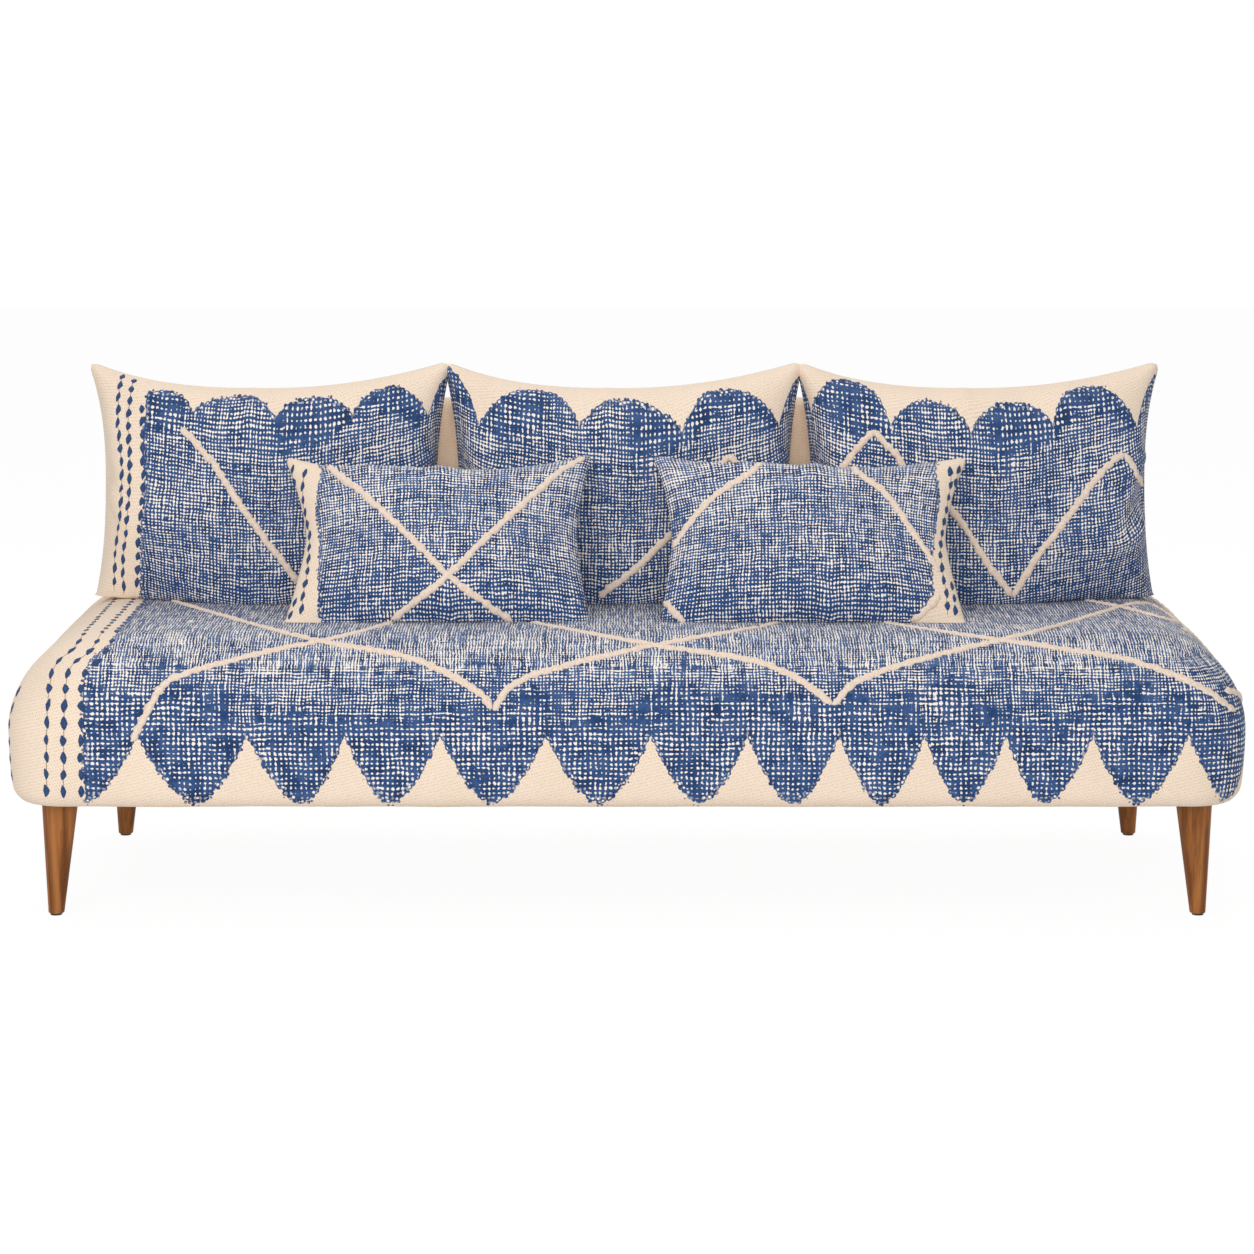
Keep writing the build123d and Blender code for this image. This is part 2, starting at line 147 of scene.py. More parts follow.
# Cloth print
lobe_tips = (-0.869, -0.690, -0.520, -0.379, -0.216, -0.043, 0.118, 0.266, 0.410, 0.538, 0.669, 0.816, 0.973)
lobe_pitch = 0.150
lobe_tip_height = 0.006
lobe_apex_height = 0.119
lobe_power = 1.65
lobe_slope = 0.62
dome_power = 0.80
band_edge_front = -0.868
band_edge_top = -0.829
band_turn_start = 0.225
band_turn_reach = 0.085
outer_dome_growth = 1.7
least_dome = 0.02
plain_figure = (0.5, -4.0, 0.05)
sideways_search = (0, 3, -3, 6, -6, 9, -9, 12, -12)
fine_pitch = 0.0057
bold_pitch = 0.0081
rib_pitch = 0.0047
bead_pitch = 0.0080
yarn_width = 0.0116
yarn_height = 0.0030
yarn_step = 0.0040
tuft_pitch = 0.0170
thread_width = 0.0013
thread_height = 0.0005

# Stitched dashes: length, width and height, and how far they lean
front_dash = (0.0205, 0.0108, 0.0016)
top_dash = (0.0180, 0.0088, 0.0014)
top_dash_lean = 0.45
cushion_dash = (0.0195, 0.0104, 0.0016)
cushion_dash_lean = -0.12
dash_pitch = 0.027
cushion_dash_pitch = dash_pitch * 0.92
end_dash_x = -0.997
end_dash_setback = 0.062
end_dash_lengths = [0.03 + 0.02 * k for k in range(10)]
threaded_columns = 2

# Pixels of the photograph through which the seat's lines run
seat_lines = (
    ((132, 742), (146, 714), (165, 683), (190, 672), (215, 665), (265, 652), (320, 641), (370, 629),
     (395, 621), (420, 612)),
    ((180, 603), (245, 622), (320, 641), (400, 655), (445, 672), (478, 692), (493, 710)),
    ((493, 710), (515, 683), (560, 667), (655, 645), (760, 627)),
    ((545, 625), (655, 645), (750, 660), (800, 680), (833, 705)),
    ((833, 705), (860, 680), (925, 658), (1000, 640), (1060, 625), (1125, 605)),
    ((905, 626), (1000, 640), (1080, 651), (1140, 663), (1200, 687), (1237, 712)),
    ((1085, 600), (1125, 608), (1180, 623)),
)

# Where those lines run on under the cushions, as X and Y on the seat's top
hidden_lines = (
    ((-0.360, -0.110), (-0.300, -0.060), (-0.225, 0.005), (-0.140, 0.110), (-0.100, 0.200)),
    ((-0.764, 0.059), (-0.800, 0.130), (-0.830, 0.200)),
    ((0.218, -0.195), (0.290, -0.080), (0.323, 0.005), (0.360, 0.100), (0.400, 0.200)),
    ((-0.135, -0.174), (-0.190, -0.090), (-0.225, 0.005), (-0.300, 0.100), (-0.345, 0.200)),
    ((0.848, 0.037), (0.880, 0.072), (0.905, 0.110)),
    ((0.456, -0.185), (0.380, -0.090), (0.323, 0.005), (0.230, 0.100), (0.180, 0.200)),
    ((0.788, 0.093), (0.760, 0.140), (0.730, 0.200)),
)

# And where they run over the right end, as X, Y and Z
end_lines = (
    ((0.972, -0.345, 0.395), (0.990, -0.300, 0.372), (0.997, -0.240, 0.350), (0.996, -0.160, 0.372),
     (0.985, -0.060, 0.415), (0.950, 0.035, 0.445), (0.905, 0.110, 0.460)),
    ((0.930, -0.085, 0.450), (0.975, -0.045, 0.420), (0.996, 0.000, 0.365), (1.000, 0.040, 0.300),
     (0.998, 0.090, 0.345), (0.985, 0.150, 0.408), (0.950, 0.220, 0.445), (0.900, 0.290, 0.460)),
)

# The seat's dash columns, as X and cloth length from the bottom of the front
seat_columns = (
    ((-0.929, 0.014), (-0.925, 0.114), (-0.923, 0.196), (-0.918, 0.250), (-0.885, 0.320), (-0.887, 0.640),
     (-0.887, 0.900)),
    ((-0.901, 0.014), (-0.897, 0.114), (-0.895, 0.184), (-0.890, 0.236), (-0.854, 0.310), (-0.850, 0.610),
     (-0.850, 0.900)),
    ((-0.872, 0.014), (-0.870, 0.114), (-0.869, 0.178), (-0.866, 0.225), (-0.832, 0.301), (-0.828, 0.610),
     (-0.828, 0.900)),
)

# The print of each cushion, as pixels of the photograph: the cusps between its domes, their tops, the edge of
# its cream band, its lines and its dashes
cushion_prints = {
    "back_cushion_left": {
        "cusps": ((128, 414), (193, 412), (276, 418), (352, 416), (428, 416)),
        "peaks": ((161, 390), (236, 396), (314, 397), (392, 386)),
        "band": ((146, 400), (142, 435), (144, 470), (143, 510), (140, 548), (139, 595)),
        "lines": (((181, 428), (193, 440), (215, 466), (240, 505), (268, 543), (297, 580), (318, 606)),),
        "dashes": (
            ((123, 374), (119, 392), (118, 422), (120, 450), (122, 466), (120, 511), (115, 556), (114, 598)),
            ((134, 378), (131, 391), (128, 423), (130, 459), (129, 495), (126, 528), (123, 568), (124, 597)),
            ((142, 403), (142, 435), (143, 472), (141, 510), (138, 548), (137, 597)),
        ),
    },
    "back_cushion_centre": {
        "cusps": ((479, 426), (579, 426), (682, 432), (779, 426)),
        "peaks": ((521, 389), (628, 400), (740, 389)),
        "lines": (
            ((729, 455), (712, 480), (690, 512), (665, 540), (632, 572), (597, 598)),
            ((729, 455), (744, 474), (760, 502), (776, 540), (790, 590)),
        ),
    },
    "back_cushion_right": {
        "cusps": ((812, 416), (891, 426), (971, 432), (1053, 424), (1137, 428)),
        "peaks": ((848, 380), (928, 400), (1009, 402), (1094, 386)),
        "lines": (
            ((874, 430), (856, 450), (838, 475), (815, 520), (806, 575)),
            ((874, 430), (893, 452), (913, 478), (938, 498), (960, 520), (985, 560), (1013, 597)),
            ((1013, 597), (1035, 560), (1062, 525), (1095, 480), (1112, 462), (1125, 453)),
            ((1125, 453), (1133, 466), (1141, 482), (1152, 500)),
        ),
    },
    "lumbar_cushion_left": {
        "band": ((321, 475), (316, 492), (316, 514), (318, 531), (319, 551), (318, 570), (317, 612),
                 (321, 619)),
        "lines": (
            ((328, 466), (345, 480), (365, 495), (408, 535), (447, 574), (485, 603), (520, 627), (545, 645)),
            ((606, 447), (566, 467), (545, 484), (496, 528), (447, 576), (415, 602), (385, 625), (360, 645)),
        ),
        "dashes": (
            ((305, 468), (303, 484), (303, 501), (305, 515), (309, 532), (309, 552), (307, 573), (304, 590),
             (301, 616)),
            ((293, 463), (292, 474), (296, 486)),
            ((297, 596), (293, 606), (289, 618)),
        ),
    },
    "lumbar_cushion_right": {
        "right_band": ((935, 472), (939, 483), (940, 497), (939, 512), (935, 537), (933, 570), (933, 595),
                       (923, 612), (912, 618)),
        "lines": (
            ((765, 458), (749, 473), (722, 490), (700, 510), (680, 536), (668, 556), (658, 580)),
            ((652, 590), (663, 600), (677, 616), (692, 629), (705, 645)),
            ((845, 458), (860, 474), (882, 490), (898, 510), (915, 535), (932, 560), (940, 572)),
            ((940, 596), (932, 604), (918, 617), (900, 627), (885, 640)),
        ),
        "dashes": (
            ((950, 466), (951, 479), (949, 496), (946, 511), (943, 526), (941, 541), (941, 558), (943, 574),
             (946, 592), (948, 619)),
            ((960, 464), (958, 474), (955, 487)),
            ((951, 580), (954, 597), (957, 616)),
        ),
    },
}

# Finishes, as linear colour
white = (1, 1, 1, 1)
floor_grey = (0.93, 0.93, 0.93, 1)
cream = (0.92, 0.765, 0.62, 1)
cream_shade = (0.72, 0.55, 0.40, 1)
cream_fleck = (0.42, 0.27, 0.17, 1)
indigo = (0.026, 0.072, 0.205, 1)
navy = (0.010, 0.026, 0.078, 1)
faded_indigo = (0.125, 0.195, 0.365, 1)
dot_cream = (0.93, 0.865, 0.80, 1)
yarn_cream = (0.92, 0.77, 0.645, 1)
yarn_shade = (0.74, 0.57, 0.45, 1)
walnut_light = (0.43, 0.165, 0.046, 1)
walnut_dark = (0.165, 0.054, 0.014, 1)
walnut_pore = (0.055, 0.020, 0.008, 1)
cotton_sheen = {"Sheen_Weight": 0.12, "Specular_IOR_Level": 0.15}

# Light: each lamp's place, size and power, and how white the floor and the surround look
lamps = {
    "key": ((-2.4, -4.6, 3.4), 2.4, 84.0),
    "front": ((0.3, -6.1, 1.9), 1.8, 96.0),
    "top": ((0.0, 1.4, 4.0), 3.0, 56.0),
}
lamp_aim = Vector((0, 0, 0.4))
surround_light = 0.44
floor_reach = 14.0
floor_glow = 1.045
floor_glow_share = 0.90


class Value:
    """A number that varies over a surface: a socket that Python's operators work on."""

    def __init__(self, finish, socket):
        self.finish = finish
        self.socket = socket

    def maths(self, operation, *terms):
        return self.finish.node("ShaderNodeMath", {"operation": operation}, dict(enumerate(terms)))

    def __add__(self, other):
        return self.maths("ADD", self, other)

    __radd__ = __add__

    def __sub__(self, other):
        return self.maths("SUBTRACT", self, other)

    def __rsub__(self, other):
        return self.maths("SUBTRACT", other, self)

    def __mul__(self, other):
        return self.maths("MULTIPLY", self, other)

    __rmul__ = __mul__

    def __pow__(self, other):
        return self.maths("POWER", self, other)

    def __abs__(self):
        return self.maths("ABSOLUTE", self)

    def cosine(self):
        return self.maths("COSINE", self)

    def part(self):
        return self.maths("FRACT", self)

    def least(self, other):
        return self.maths("MINIMUM", self, other)

    def most(self, other):
        return self.maths("MAXIMUM", self, other)

    def rise(self, low, high):
        """0 below low, 1 above high, and smooth between them; the two may be the other way round."""
        wanted = {"Value": self, "From Min": low, "From Max": high}
        return self.finish.node("ShaderNodeMapRange", {"interpolation_type": "SMOOTHSTEP"}, wanted)


class Finish:
    """A material, built node by node around one surface shader."""

    def __init__(self, name):
        self.material = bpy.data.materials.new(name)
        self.material.use_nodes = True
        self.tree = self.material.node_tree
        self.shader = self.tree.nodes["Principled BSDF"]

    def node(self, kind, settings, wanted, output=0):
        made = self.tree.nodes.new(kind)
        for key, value in settings.items():
            setattr(made, key, value)
        for key, value in wanted.items():
            self.plug(made.inputs[key], value)
        return Value(self, made.outputs[output])

    def plug(self, socket, value):
        if isinstance(value, Value):
            self.tree.links.new(value.socket, socket)
        else:
            socket.default_value = value

    def surface(self, **wanted):
        """Set or link the surface shader's sockets, named with underscores for spaces."""
        for key, value in wanted.items():
            self.plug(self.shader.inputs[key.replace("_", " ")], value)
        return self.material

    def place(self):
        return self.node("ShaderNodeTexCoord", {}, {}, "Object")

    def laid(self, layer="cloth"):
        return self.node("ShaderNodeUVMap", {"uv_map": layer}, {})

    def split(self, vector):
        made = self.tree.nodes.new("ShaderNodeSeparateXYZ")
        self.plug(made.inputs[0], vector)
        return [Value(self, made.outputs[i]) for i in range(3)]

    def join(self, x, y, z=0.0):
        return self.node("ShaderNodeCombineXYZ", {}, {0: x, 1: y, 2: z})

    def noise(self, vector, scale, detail=2.0, roughness=0.5):
        wanted = {"Vector": vector, "Scale": scale, "Detail": detail, "Roughness": roughness}
        return self.node("ShaderNodeTexNoise", {}, wanted, "Fac")

    def cells(self, vector, scale, randomness=1.0):
        wanted = {"Vector": vector, "Scale": scale, "Randomness": randomness}
        return self.node("ShaderNodeTexVoronoi", {}, wanted, "Distance")

    def stretched(self, vector, scale):
        return self.node("ShaderNodeMapping", {}, {"Vector": vector, "Scale": scale})

    def blend(self, share, first, second):
        """The first colour where share is 0, and the second where it is 1."""
        return self.node("ShaderNodeMix", {"data_type": "RGBA"}, {0: share, 6: first, 7: second}, 2)

    def bump(self, height, distance, strength=1.0):
        wanted = {"Height": height, "Distance": distance, "Strength": strength}
        return self.node("ShaderNodeBump", {}, wanted)


def dress(piece, *materials):
    """Give a piece its materials, in the order of its faces' material numbers."""
    if piece.data.materials:
        piece.data.materials.clear()
    for material in materials:
        piece.data.materials.append(material)
    return piece


def make_object(name, mesh_work):
    """Turn a finished bmesh into an object of the scene."""
    mesh = bpy.data.meshes.new(name)
    mesh_work.to_mesh(mesh)
    mesh_work.free()
    made = bpy.data.objects.new(name, mesh)
    scene.collection.objects.link(made)
    return made


def place_piece(name, mesh_work, body, node_names=(), rounding=0):
    """Turn a finished bmesh into a piece that rides on a body and stands for CAD nodes."""
    piece = make_object(name, mesh_work)
    for face in piece.data.polygons:
        face.use_smooth = True
    if rounding:
        finer = piece.modifiers.new("finer", "SUBSURF")
        finer.levels = rounding
        finer.render_levels = rounding
    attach(piece, body)
    if node_names:
        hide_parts(*node_names)
    return piece


# Camera


def sight(pixel):
    """The direction in which the camera sees one pixel of the photograph."""
    right = (pixel[0] - photo_side / 2) / focal_pixels
    down = (pixel[1] - photo_side / 2) / focal_pixels
    ahead = Vector((0, math.cos(camera_dip), -math.sin(camera_dip)))
    up = Vector((0, math.sin(camera_dip), math.cos(camera_dip)))
    return (ahead + Vector((right, 0, 0)) - up * down).normalized()


def set_camera():
    data = bpy.data.cameras.new("camera")
    data.sensor_width = sensor_width
    data.lens = sensor_width * focal_pixels / photo_side
    camera = bpy.data.objects.new("camera", data)
    camera.location = camera_place
    camera.rotation_euler = (math.radians(90) - camera_dip, 0, 0)
    scene.collection.objects.link(camera)
    scene.camera = camera


# Cloth weave and print


def waves(along, scale, shift):
    """A row of even waves along a coordinate."""
    return (along * scale + shift).cosine()


def weave(finish, u, v, coarse, streaky, pale):
    """Cream dots on indigo, woven in rows: how much cream shows, how dark the dye is, and the relief. Where pale
    is below zero it is painted shade: deeper dye and fewer dots.
    """
    wander = finish.noise(finish.join(u, v), 24.0, 3.0, 0.6)
    wander_across = finish.noise(finish.join(u, v, 3.0), 24.0, 3.0, 0.6)
    x = u + (wander - 0.5) * 0.010
    y = v + (wander_across - 0.5) * 0.010
    ripple = finish.noise(finish.join(u, v, 7.0), 190.0, 1.0)
    turns = 2 * math.pi
    fine = waves(x, turns / fine_pitch, ripple * 2.4) + waves(y, turns / fine_pitch, ripple * -2.4)
    bold = waves(x, turns / bold_pitch, ripple * 2.4) + waves(y, turns / bold_pitch, ripple * -2.4)
    ribs = waves(x, turns / rib_pitch, ripple * 5.5) * 1.45 + waves(y, turns / rib_pitch, ripple * 4.0) * 0.60
    rows = finish.noise(finish.join(u * 0.08, v), 185.0, 2.0, 0.7)
    columns = finish.noise(finish.join(u, v * 0.08), 185.0, 2.0, 0.7)
    knots = finish.noise(finish.join(u, v, 11.0), 105.0, 1.0)
    patches = finish.noise(finish.join(u, v, 13.0), 13.0, 3.0, 0.55)
    lift = (rows - 0.5) * 4.4 + (columns - 0.5) * (4.2 + streaky * 3.0)
    lift = lift + (knots - 0.5) * 1.8 + (patches - 0.5) * 1.8
    cell = fine * (1 - coarse) + bold * coarse
    cell = cell * (1 - streaky) + ribs * streaky
    level = 0.66 + coarse * 0.30 - streaky * 0.06 - pale * 0.16
    softness = 0.15 + streaky * 0.40
    dots = (cell + lift - level).rise(softness * -1.0, softness)
    dye = finish.noise(finish.join(u, v, 5.0), 34.0, 4.0, 0.6)
    nubs = finish.cells(finish.join(u, v * 0.7), 46.0).rise(0.17, 0.05) * streaky
    return dots * (1 - nubs), dye, dots * 0.7 + ripple * 0.3


def plain_ground(finish, u, v):
    """Unbleached cotton: its colour and its relief."""
    at = finish.join(u, v)
    mottle = finish.noise(at, 9.0, 3.0)
    twill = ((u + v * 0.6) * (2 * math.pi / 0.0047)).cosine()
    weft = ((v - u * 0.25) * (2 * math.pi / 0.0053)).cosine()
    grain = finish.noise(at, 300.0, 2.0, 0.6)
    stipple = (twill * 0.46 + weft * 0.40 + (grain - 0.5) * 3.2).rise(-0.4, 1.1)
    colour = finish.blend(stipple * 0.80 + (mottle - 0.5) * 0.45, cream, cream_shade)
    fleck = finish.cells(at, 26.0).rise(0.055, 0.030)
    colour = finish.blend(fleck * finish.noise(at, 31.0).rise(0.52, 0.60) * 0.7, colour, cream_fleck)
    return colour, stipple * -0.5 + grain * 0.6


def printed_cloth(name, blue_part, coarse_part, streaky_part, paling_and_painted_shade_part):
    """Cream cotton with an indigo print. Each argument is a function of the finish, u and v."""
    finish = Finish(name)
    u, v, _ = finish.split(finish.laid())
    blue_distance = blue_part(finish, u, v)
    beads = finish.cells(finish.join(u, v), 1 / bead_pitch, 0.6)
    ragged = finish.noise(finish.join(u, v), 110.0, 2.0)
    near_edge = blue_distance + (ragged - 0.5) * 0.005
    solid = near_edge.rise(0.0020, 0.0036)
    beaded = (near_edge + (0.50 - beads) * 0.012).rise(-0.0006, 0.0006)
    blue = solid.most(beaded)
    rim = near_edge.rise(0.0110, 0.0060)
    coarse = coarse_part(finish, u, v)
    streaky = streaky_part(finish, u, v)
    # pale: paler dye above zero, and painted shade below zero, darker dye and fewer dots where other parts shade
    # the cloth.
    pale = paling_and_painted_shade_part(finish, u, v)
    dots, dye, relief = weave(finish, u, v, coarse, streaky, pale)
    ring = near_edge.rise(0.0016, 0.0026) * near_edge.rise(0.0085, 0.0070)
    dots = (dots * (1 - rim * 0.65)).most(ring * beads.rise(0.36, 0.28) * 0.95)
    dyed = finish.blend(dye.rise(0.42, 0.66) * (0.25 + streaky * 0.2 + pale * 0.3), indigo, faded_indigo)
    dyed = finish.blend((1 - dye).rise(0.44, 0.70) * (0.55 + coarse * 0.2), dyed, navy)
    cloth = finish.blend(dots, dyed, dot_cream)
    ground, ground_relief = plain_ground(finish, u, v)
    colour = finish.blend(blue, ground, cloth)
    height = ground_relief * 0.35 * (1 - blue) + relief * blue
    normal = finish.bump(height, 0.0011, 0.8)
    return finish.surface(Base_Color=colour, Roughness=0.92, Normal=normal, **cotton_sheen)


def nowhere(finish, u, v):
    """For a part of the print that a cloth doesn't have."""
    return 0.0


def plain_cotton(name):
    """The unprinted cotton of the cushions' backs, the backrest and the linings."""
    finish = Finish(name)
    u, v, _ = finish.split(finish.laid())
    colour, relief = plain_ground(finish, u, v)
    normal = finish.bump(relief, 0.0008, 0.6)
    return finish.surface(Base_Color=colour, Roughness=0.93, Normal=normal, **cotton_sheen)


def seat_blue(finish, u, v):
    """How far inside the blue a point of the seat's cover is: over the lobes and right of the band."""
    phase, height, _ = finish.split(finish.laid("figure"))
    from_tip = abs((phase + 0.5).part() - 0.5) * 2
    lobe_edge = lobe_tip_height + (from_tip ** lobe_power) * (lobe_apex_height - lobe_tip_height)
    over_lobes = (height - lobe_edge) * lobe_slope
    band, _, _ = finish.split(finish.laid("band"))
    return over_lobes.least(band)


def seat_coarse(finish, u, v):
    """The big dots low on the seat's front, in the lobes."""
    _, height, _ = finish.split(finish.laid("figure"))
    patch = finish.noise(finish.join(u, v, 2.0), 9.0, 2.0)
    return (height + (patch - 0.5) * 0.22).rise(0.215, 0.125)


def seat_streaky(finish, u, v):
    """The ribs that run from front to back over the seat's top."""
    _, height, _ = finish.split(finish.laid("figure"))
    return height.rise(0.205, 0.265)


def seat_wear_and_painted_shade(finish, u, v):
    """The worn top of the seat, between its rounded front and the cushions, and painted shade at the back of the
    top: deeper dye and fewer dots next to the cushions, where they shade the seat.
    """
    _, height, _ = finish.split(finish.laid("figure"))
    # Painted shade: the last term darkens the back of the seat's top next to the cushions, in place of their
    # shadow.
    return height.rise(0.17, 0.24) * height.rise(0.48, 0.38) - height.rise(0.46, 0.60) * 1.8


def cushion_painted_shade(finish, u, v):
    """Painted shade low down: deeper dye, and fewer dots, where the cushion meets the seat."""
    return v.rise(-0.05, -0.18) * -1.6


def lumbar_paling_and_painted_shade(finish, u, v):
    """Paler towards the top, and painted shade low down: deeper dye where the cushion meets the seat."""
    return v.rise(-0.06, 0.12) * 1.3 + 0.2 - v.rise(-0.05, -0.14)


def cushion_blue(finish, u, v):
    """How far inside the blue a point of a cushion's front is: under the domes, and clear of the band."""
    phase, rise, _ = finish.split(finish.laid("figure"))
    from_middle = abs(phase.part() - 0.5) * 2
    dome = (1 - from_middle ** 2.0).most(0.0) ** dome_power
    band, size, _ = finish.split(finish.laid("band"))
    return ((dome - rise) * size).least(band)


def cushion_coarse(finish, u, v):
    """The big dots under the domes and near the seams."""
    _, rise, _ = finish.split(finish.laid("figure"))
    patch = finish.noise(finish.join(u, v, 2.0), 7.0, 2.0)
    return ((patch - 0.5) * 3.0 + 0.35 + rise * 0.30).rise(0.15, 0.75)


# Seat


def seat_ring(step):
    """One level of the seat's shape, counted down from the top: inset, rear inset, corner, height, arc."""
    if step <= rounding_steps:
        angle = math.radians(90) * (1 - step / rounding_steps)
        inset = top_round * (1 - math.cos(angle))
        rear_inset = rear_round * (1 - math.cos(angle))
        corner = plan_corner - inset * plan_corner / top_round * corner_tightening
        return inset, rear_inset, corner, belly_z + top_round * math.sin(angle)
    share = (step - rounding_steps) / face_steps
    z = belly_z - face_height * share
    inset = under_tuck * (1 - math.sqrt(1 - share * share))
    from_bottom = z - seat_bottom
    if from_bottom < hem_round:
        inset += hem_round - math.sqrt(hem_round ** 2 - (hem_round - from_bottom) ** 2)
    return inset, inset, plan_corner - inset * corner_tightening, z


def ring_place(key, inset, rear_inset, corner, z):
    """A point of one level: key is how far along the level's straight sides, and which way it faces."""
    along_x, along_y, out_x, out_y = key
    x = along_x * (seat_half_length - inset - corner)
    low = front_y + inset + corner
    high = rear_y - rear_inset - corner
    y = low + (along_y + 1) / 2 * (high - low)
    return Vector((x + out_x * corner, y + out_y * corner, z))


def skirt_length(key, place, corner_start):
    """How far round the seat's side a point lies from the middle of the front, to the right or left."""
    along_x, along_y, out_x, out_y = key
    side = math.copysign(1, place.x)
    if out_y < -0.999:
        return place.x
    quarter = plan_corner * math.pi / 2
    front_end = seat_half_length - plan_corner
    if abs(out_x) > 0.999:
        return side * (front_end + quarter + (place.y - front_y - plan_corner))
    if out_y > 0.999:
        rear_start = front_end + 2 * quarter + (rear_y - front_y - 2 * plan_corner)
        return side * (rear_start + front_end - abs(place.x))
    turn = math.atan2(abs(out_x), abs(out_y))
    if along_y < 0:
        return side * (corner_start + (front_end + quarter - corner_start) * turn / math.radians(90))
    rear_corner = front_end + quarter + (rear_y - front_y - 2 * plan_corner)
    return side * (rear_corner + plan_corner * (math.radians(90) - turn))


def lobe_phase(length):
    """Where a place round the side falls between the lobes' tips, which are at the whole numbers."""
    last = len(lobe_tips) - 1
    if length <= lobe_tips[0]:
        return (length - lobe_tips[0]) / lobe_pitch
    if length >= lobe_tips[last]:
        return last + (length - lobe_tips[last]) / lobe_pitch
    i = bisect_right(lobe_tips, length) - 1
    return i + (length - lobe_tips[i]) / (lobe_tips[i + 1] - lobe_tips[i])


def over_end(x):
    """Cloth length along the seat's top from its middle, carried over the end's rounding."""
    flat = seat_half_length - top_round
    if abs(x) <= flat:
        return x
    return math.copysign(flat + top_round * math.asin(min(1.0, (abs(x) - flat) / top_round)), x)


def over_front(y):
    """Cloth length from the seat's bottom edge, up the front and over its rounding."""
    inside = y - front_y
    if inside >= top_round:
        return face_height + round_length + inside - top_round
    return face_height + top_round * math.acos(1 - max(0.0, inside) / top_round)


def side_height(step, z):
    """Cloth length from the seat's bottom edge to one level of the side."""
    if step <= rounding_steps:
        return face_height + top_round * math.radians(90) * (1 - step / rounding_steps)
    return z - seat_bottom


def band_distance(x, arc):
    """How far to the right of the cream band's edge a point lies."""
    share = min(1.0, max(0.0, (arc - band_turn_start) / band_turn_reach))
    share = share * share * (3 - 2 * share)
    return x - (band_edge_front + (band_edge_top - band_edge_front) * share)


def soft_uneven(place, outward):
    """The padding's slight unevenness under the cloth, in or out along the outward direction."""
    broad = noise.noise(place * 6.0) * broad_unevenness
    small = noise.noise(place * 17.0 + Vector((3, 5, 7))) * small_unevenness
    return outward * (broad + small)


def make_seat_cover():
    """The seat's cover: a top sheet whose edge is extruded down the sides and turned under."""
    mesh_work = bmesh.new()
    cloth = mesh_work.loops.layers.uv.new("cloth")
    figure = mesh_work.loops.layers.uv.new("figure")
    band = mesh_work.loops.layers.uv.new("band")
    corner = plan_corner * (1 - corner_tightening)
    half_x = seat_half_length - top_round
    low_y = front_y + top_round
    high_y = rear_y - rear_round
    across = round(2 * half_x / seat_cell)
    deep = round((high_y - low_y) / seat_cell)
    bmesh.ops.create_grid(mesh_work, x_segments=across, y_segments=deep, size=0.5)
    keys = {}
    facts = {}
    for vert in mesh_work.verts:
        x = vert.co.x * 2 * half_x
        y = low_y + (vert.co.y + 0.5) * (high_y - low_y)
        over_x = max(0.0, abs(x) - (half_x - corner)) / corner * math.copysign(1, x)
        middle_y = (low_y + high_y) / 2
        over_y = max(0.0, abs(y - middle_y) - ((high_y - low_y) / 2 - corner)) / corner
        over_y = math.copysign(over_y, y - middle_y)
        along_x = max(-1.0, min(1.0, x / (half_x - corner)))
        along_y = max(-1.0, min(1.0, (y - middle_y) / ((high_y - low_y) / 2 - corner)))
        round_x = over_x * math.sqrt(1 - over_y * over_y / 2)
        round_y = over_y * math.sqrt(1 - over_x * over_x / 2)
        keys[vert] = (along_x, along_y, round_x, round_y)
        vert.co = ring_place(keys[vert], top_round, rear_round, corner, seat_top)
        facts[vert] = (0, vert.co.x, over_front(vert.co.y))
    rim = [e for e in mesh_work.edges if e.is_boundary]
    total = rounding_steps + face_steps
    for step in range(1, total + 1):
        inset, rear_inset, corner, z = seat_ring(step)
        rim, verts = extrude_rim(mesh_work, rim)
        for vert, source in verts.items():
            keys[vert] = keys[source]
            vert.co = ring_place(keys[vert], inset, rear_inset, corner, z)
            length = skirt_length(keys[vert], vert.co, seat_half_length - inset - corner)
            facts[vert] = (step, length, side_height(step, z))
    hem = hem_width + under_tuck
    for extra, z in ((hem_round, seat_bottom), (hem, seat_bottom), (hem, seat_bottom + hem_rise)):
        rim, verts = extrude_rim(mesh_work, rim)
        for vert, source in verts.items():
            keys[vert] = keys[source]
            inset = under_tuck + extra if extra != hem else hem
            corner = max(hem_corner, plan_corner - inset)
            vert.co = ring_place(keys[vert], inset, inset, corner, z)
            facts[vert] = (total, facts[source][1], facts[source][2] - hem_cloth_step)
    bmesh.ops.triangle_fill(mesh_work, use_beauty=True, edges=rim)
    bmesh.ops.recalc_face_normals(mesh_work, faces=mesh_work.faces)
    swap_step = round(rounding_steps * flat_print_share)
    for face in mesh_work.faces:
        steps = [facts[v][0] for v in face.verts]
        on_left = face.calc_center_median().x < 0
        on_top = max(steps) <= swap_step
        front_faces = all(keys[v][3] < -0.999 for v in face.verts)
        for loop in face.loops:
            step, length, arc = facts[loop.vert]
            place = loop.vert.co
            if on_left and length > seat_half_length:
                length = -length
            if on_top or (front_faces and step <= rounding_steps):
                loop[cloth].uv = (over_end(place.x) if on_top else place.x, over_front(place.y))
            else:
                loop[cloth].uv = (length, arc)
            reach = over_front(place.y) if step == 0 else arc
            loop[figure].uv = (lobe_phase(length), reach)
            loop[band].uv = (band_distance(place.x, reach), 0)
    for vert in mesh_work.verts:
        if facts[vert][0] > 0:
            vert.co += soft_uneven(vert.co, vert.normal)
    piece = place_piece(
        "seat_cloth", mesh_work, "base", ("seat_cover", "seat_foam", "edge_padding"), 1
    )
    dress(piece, printed_cloth("printed_seat_cloth", seat_blue, seat_coarse, seat_streaky, seat_wear_and_painted_shade))
    return piece


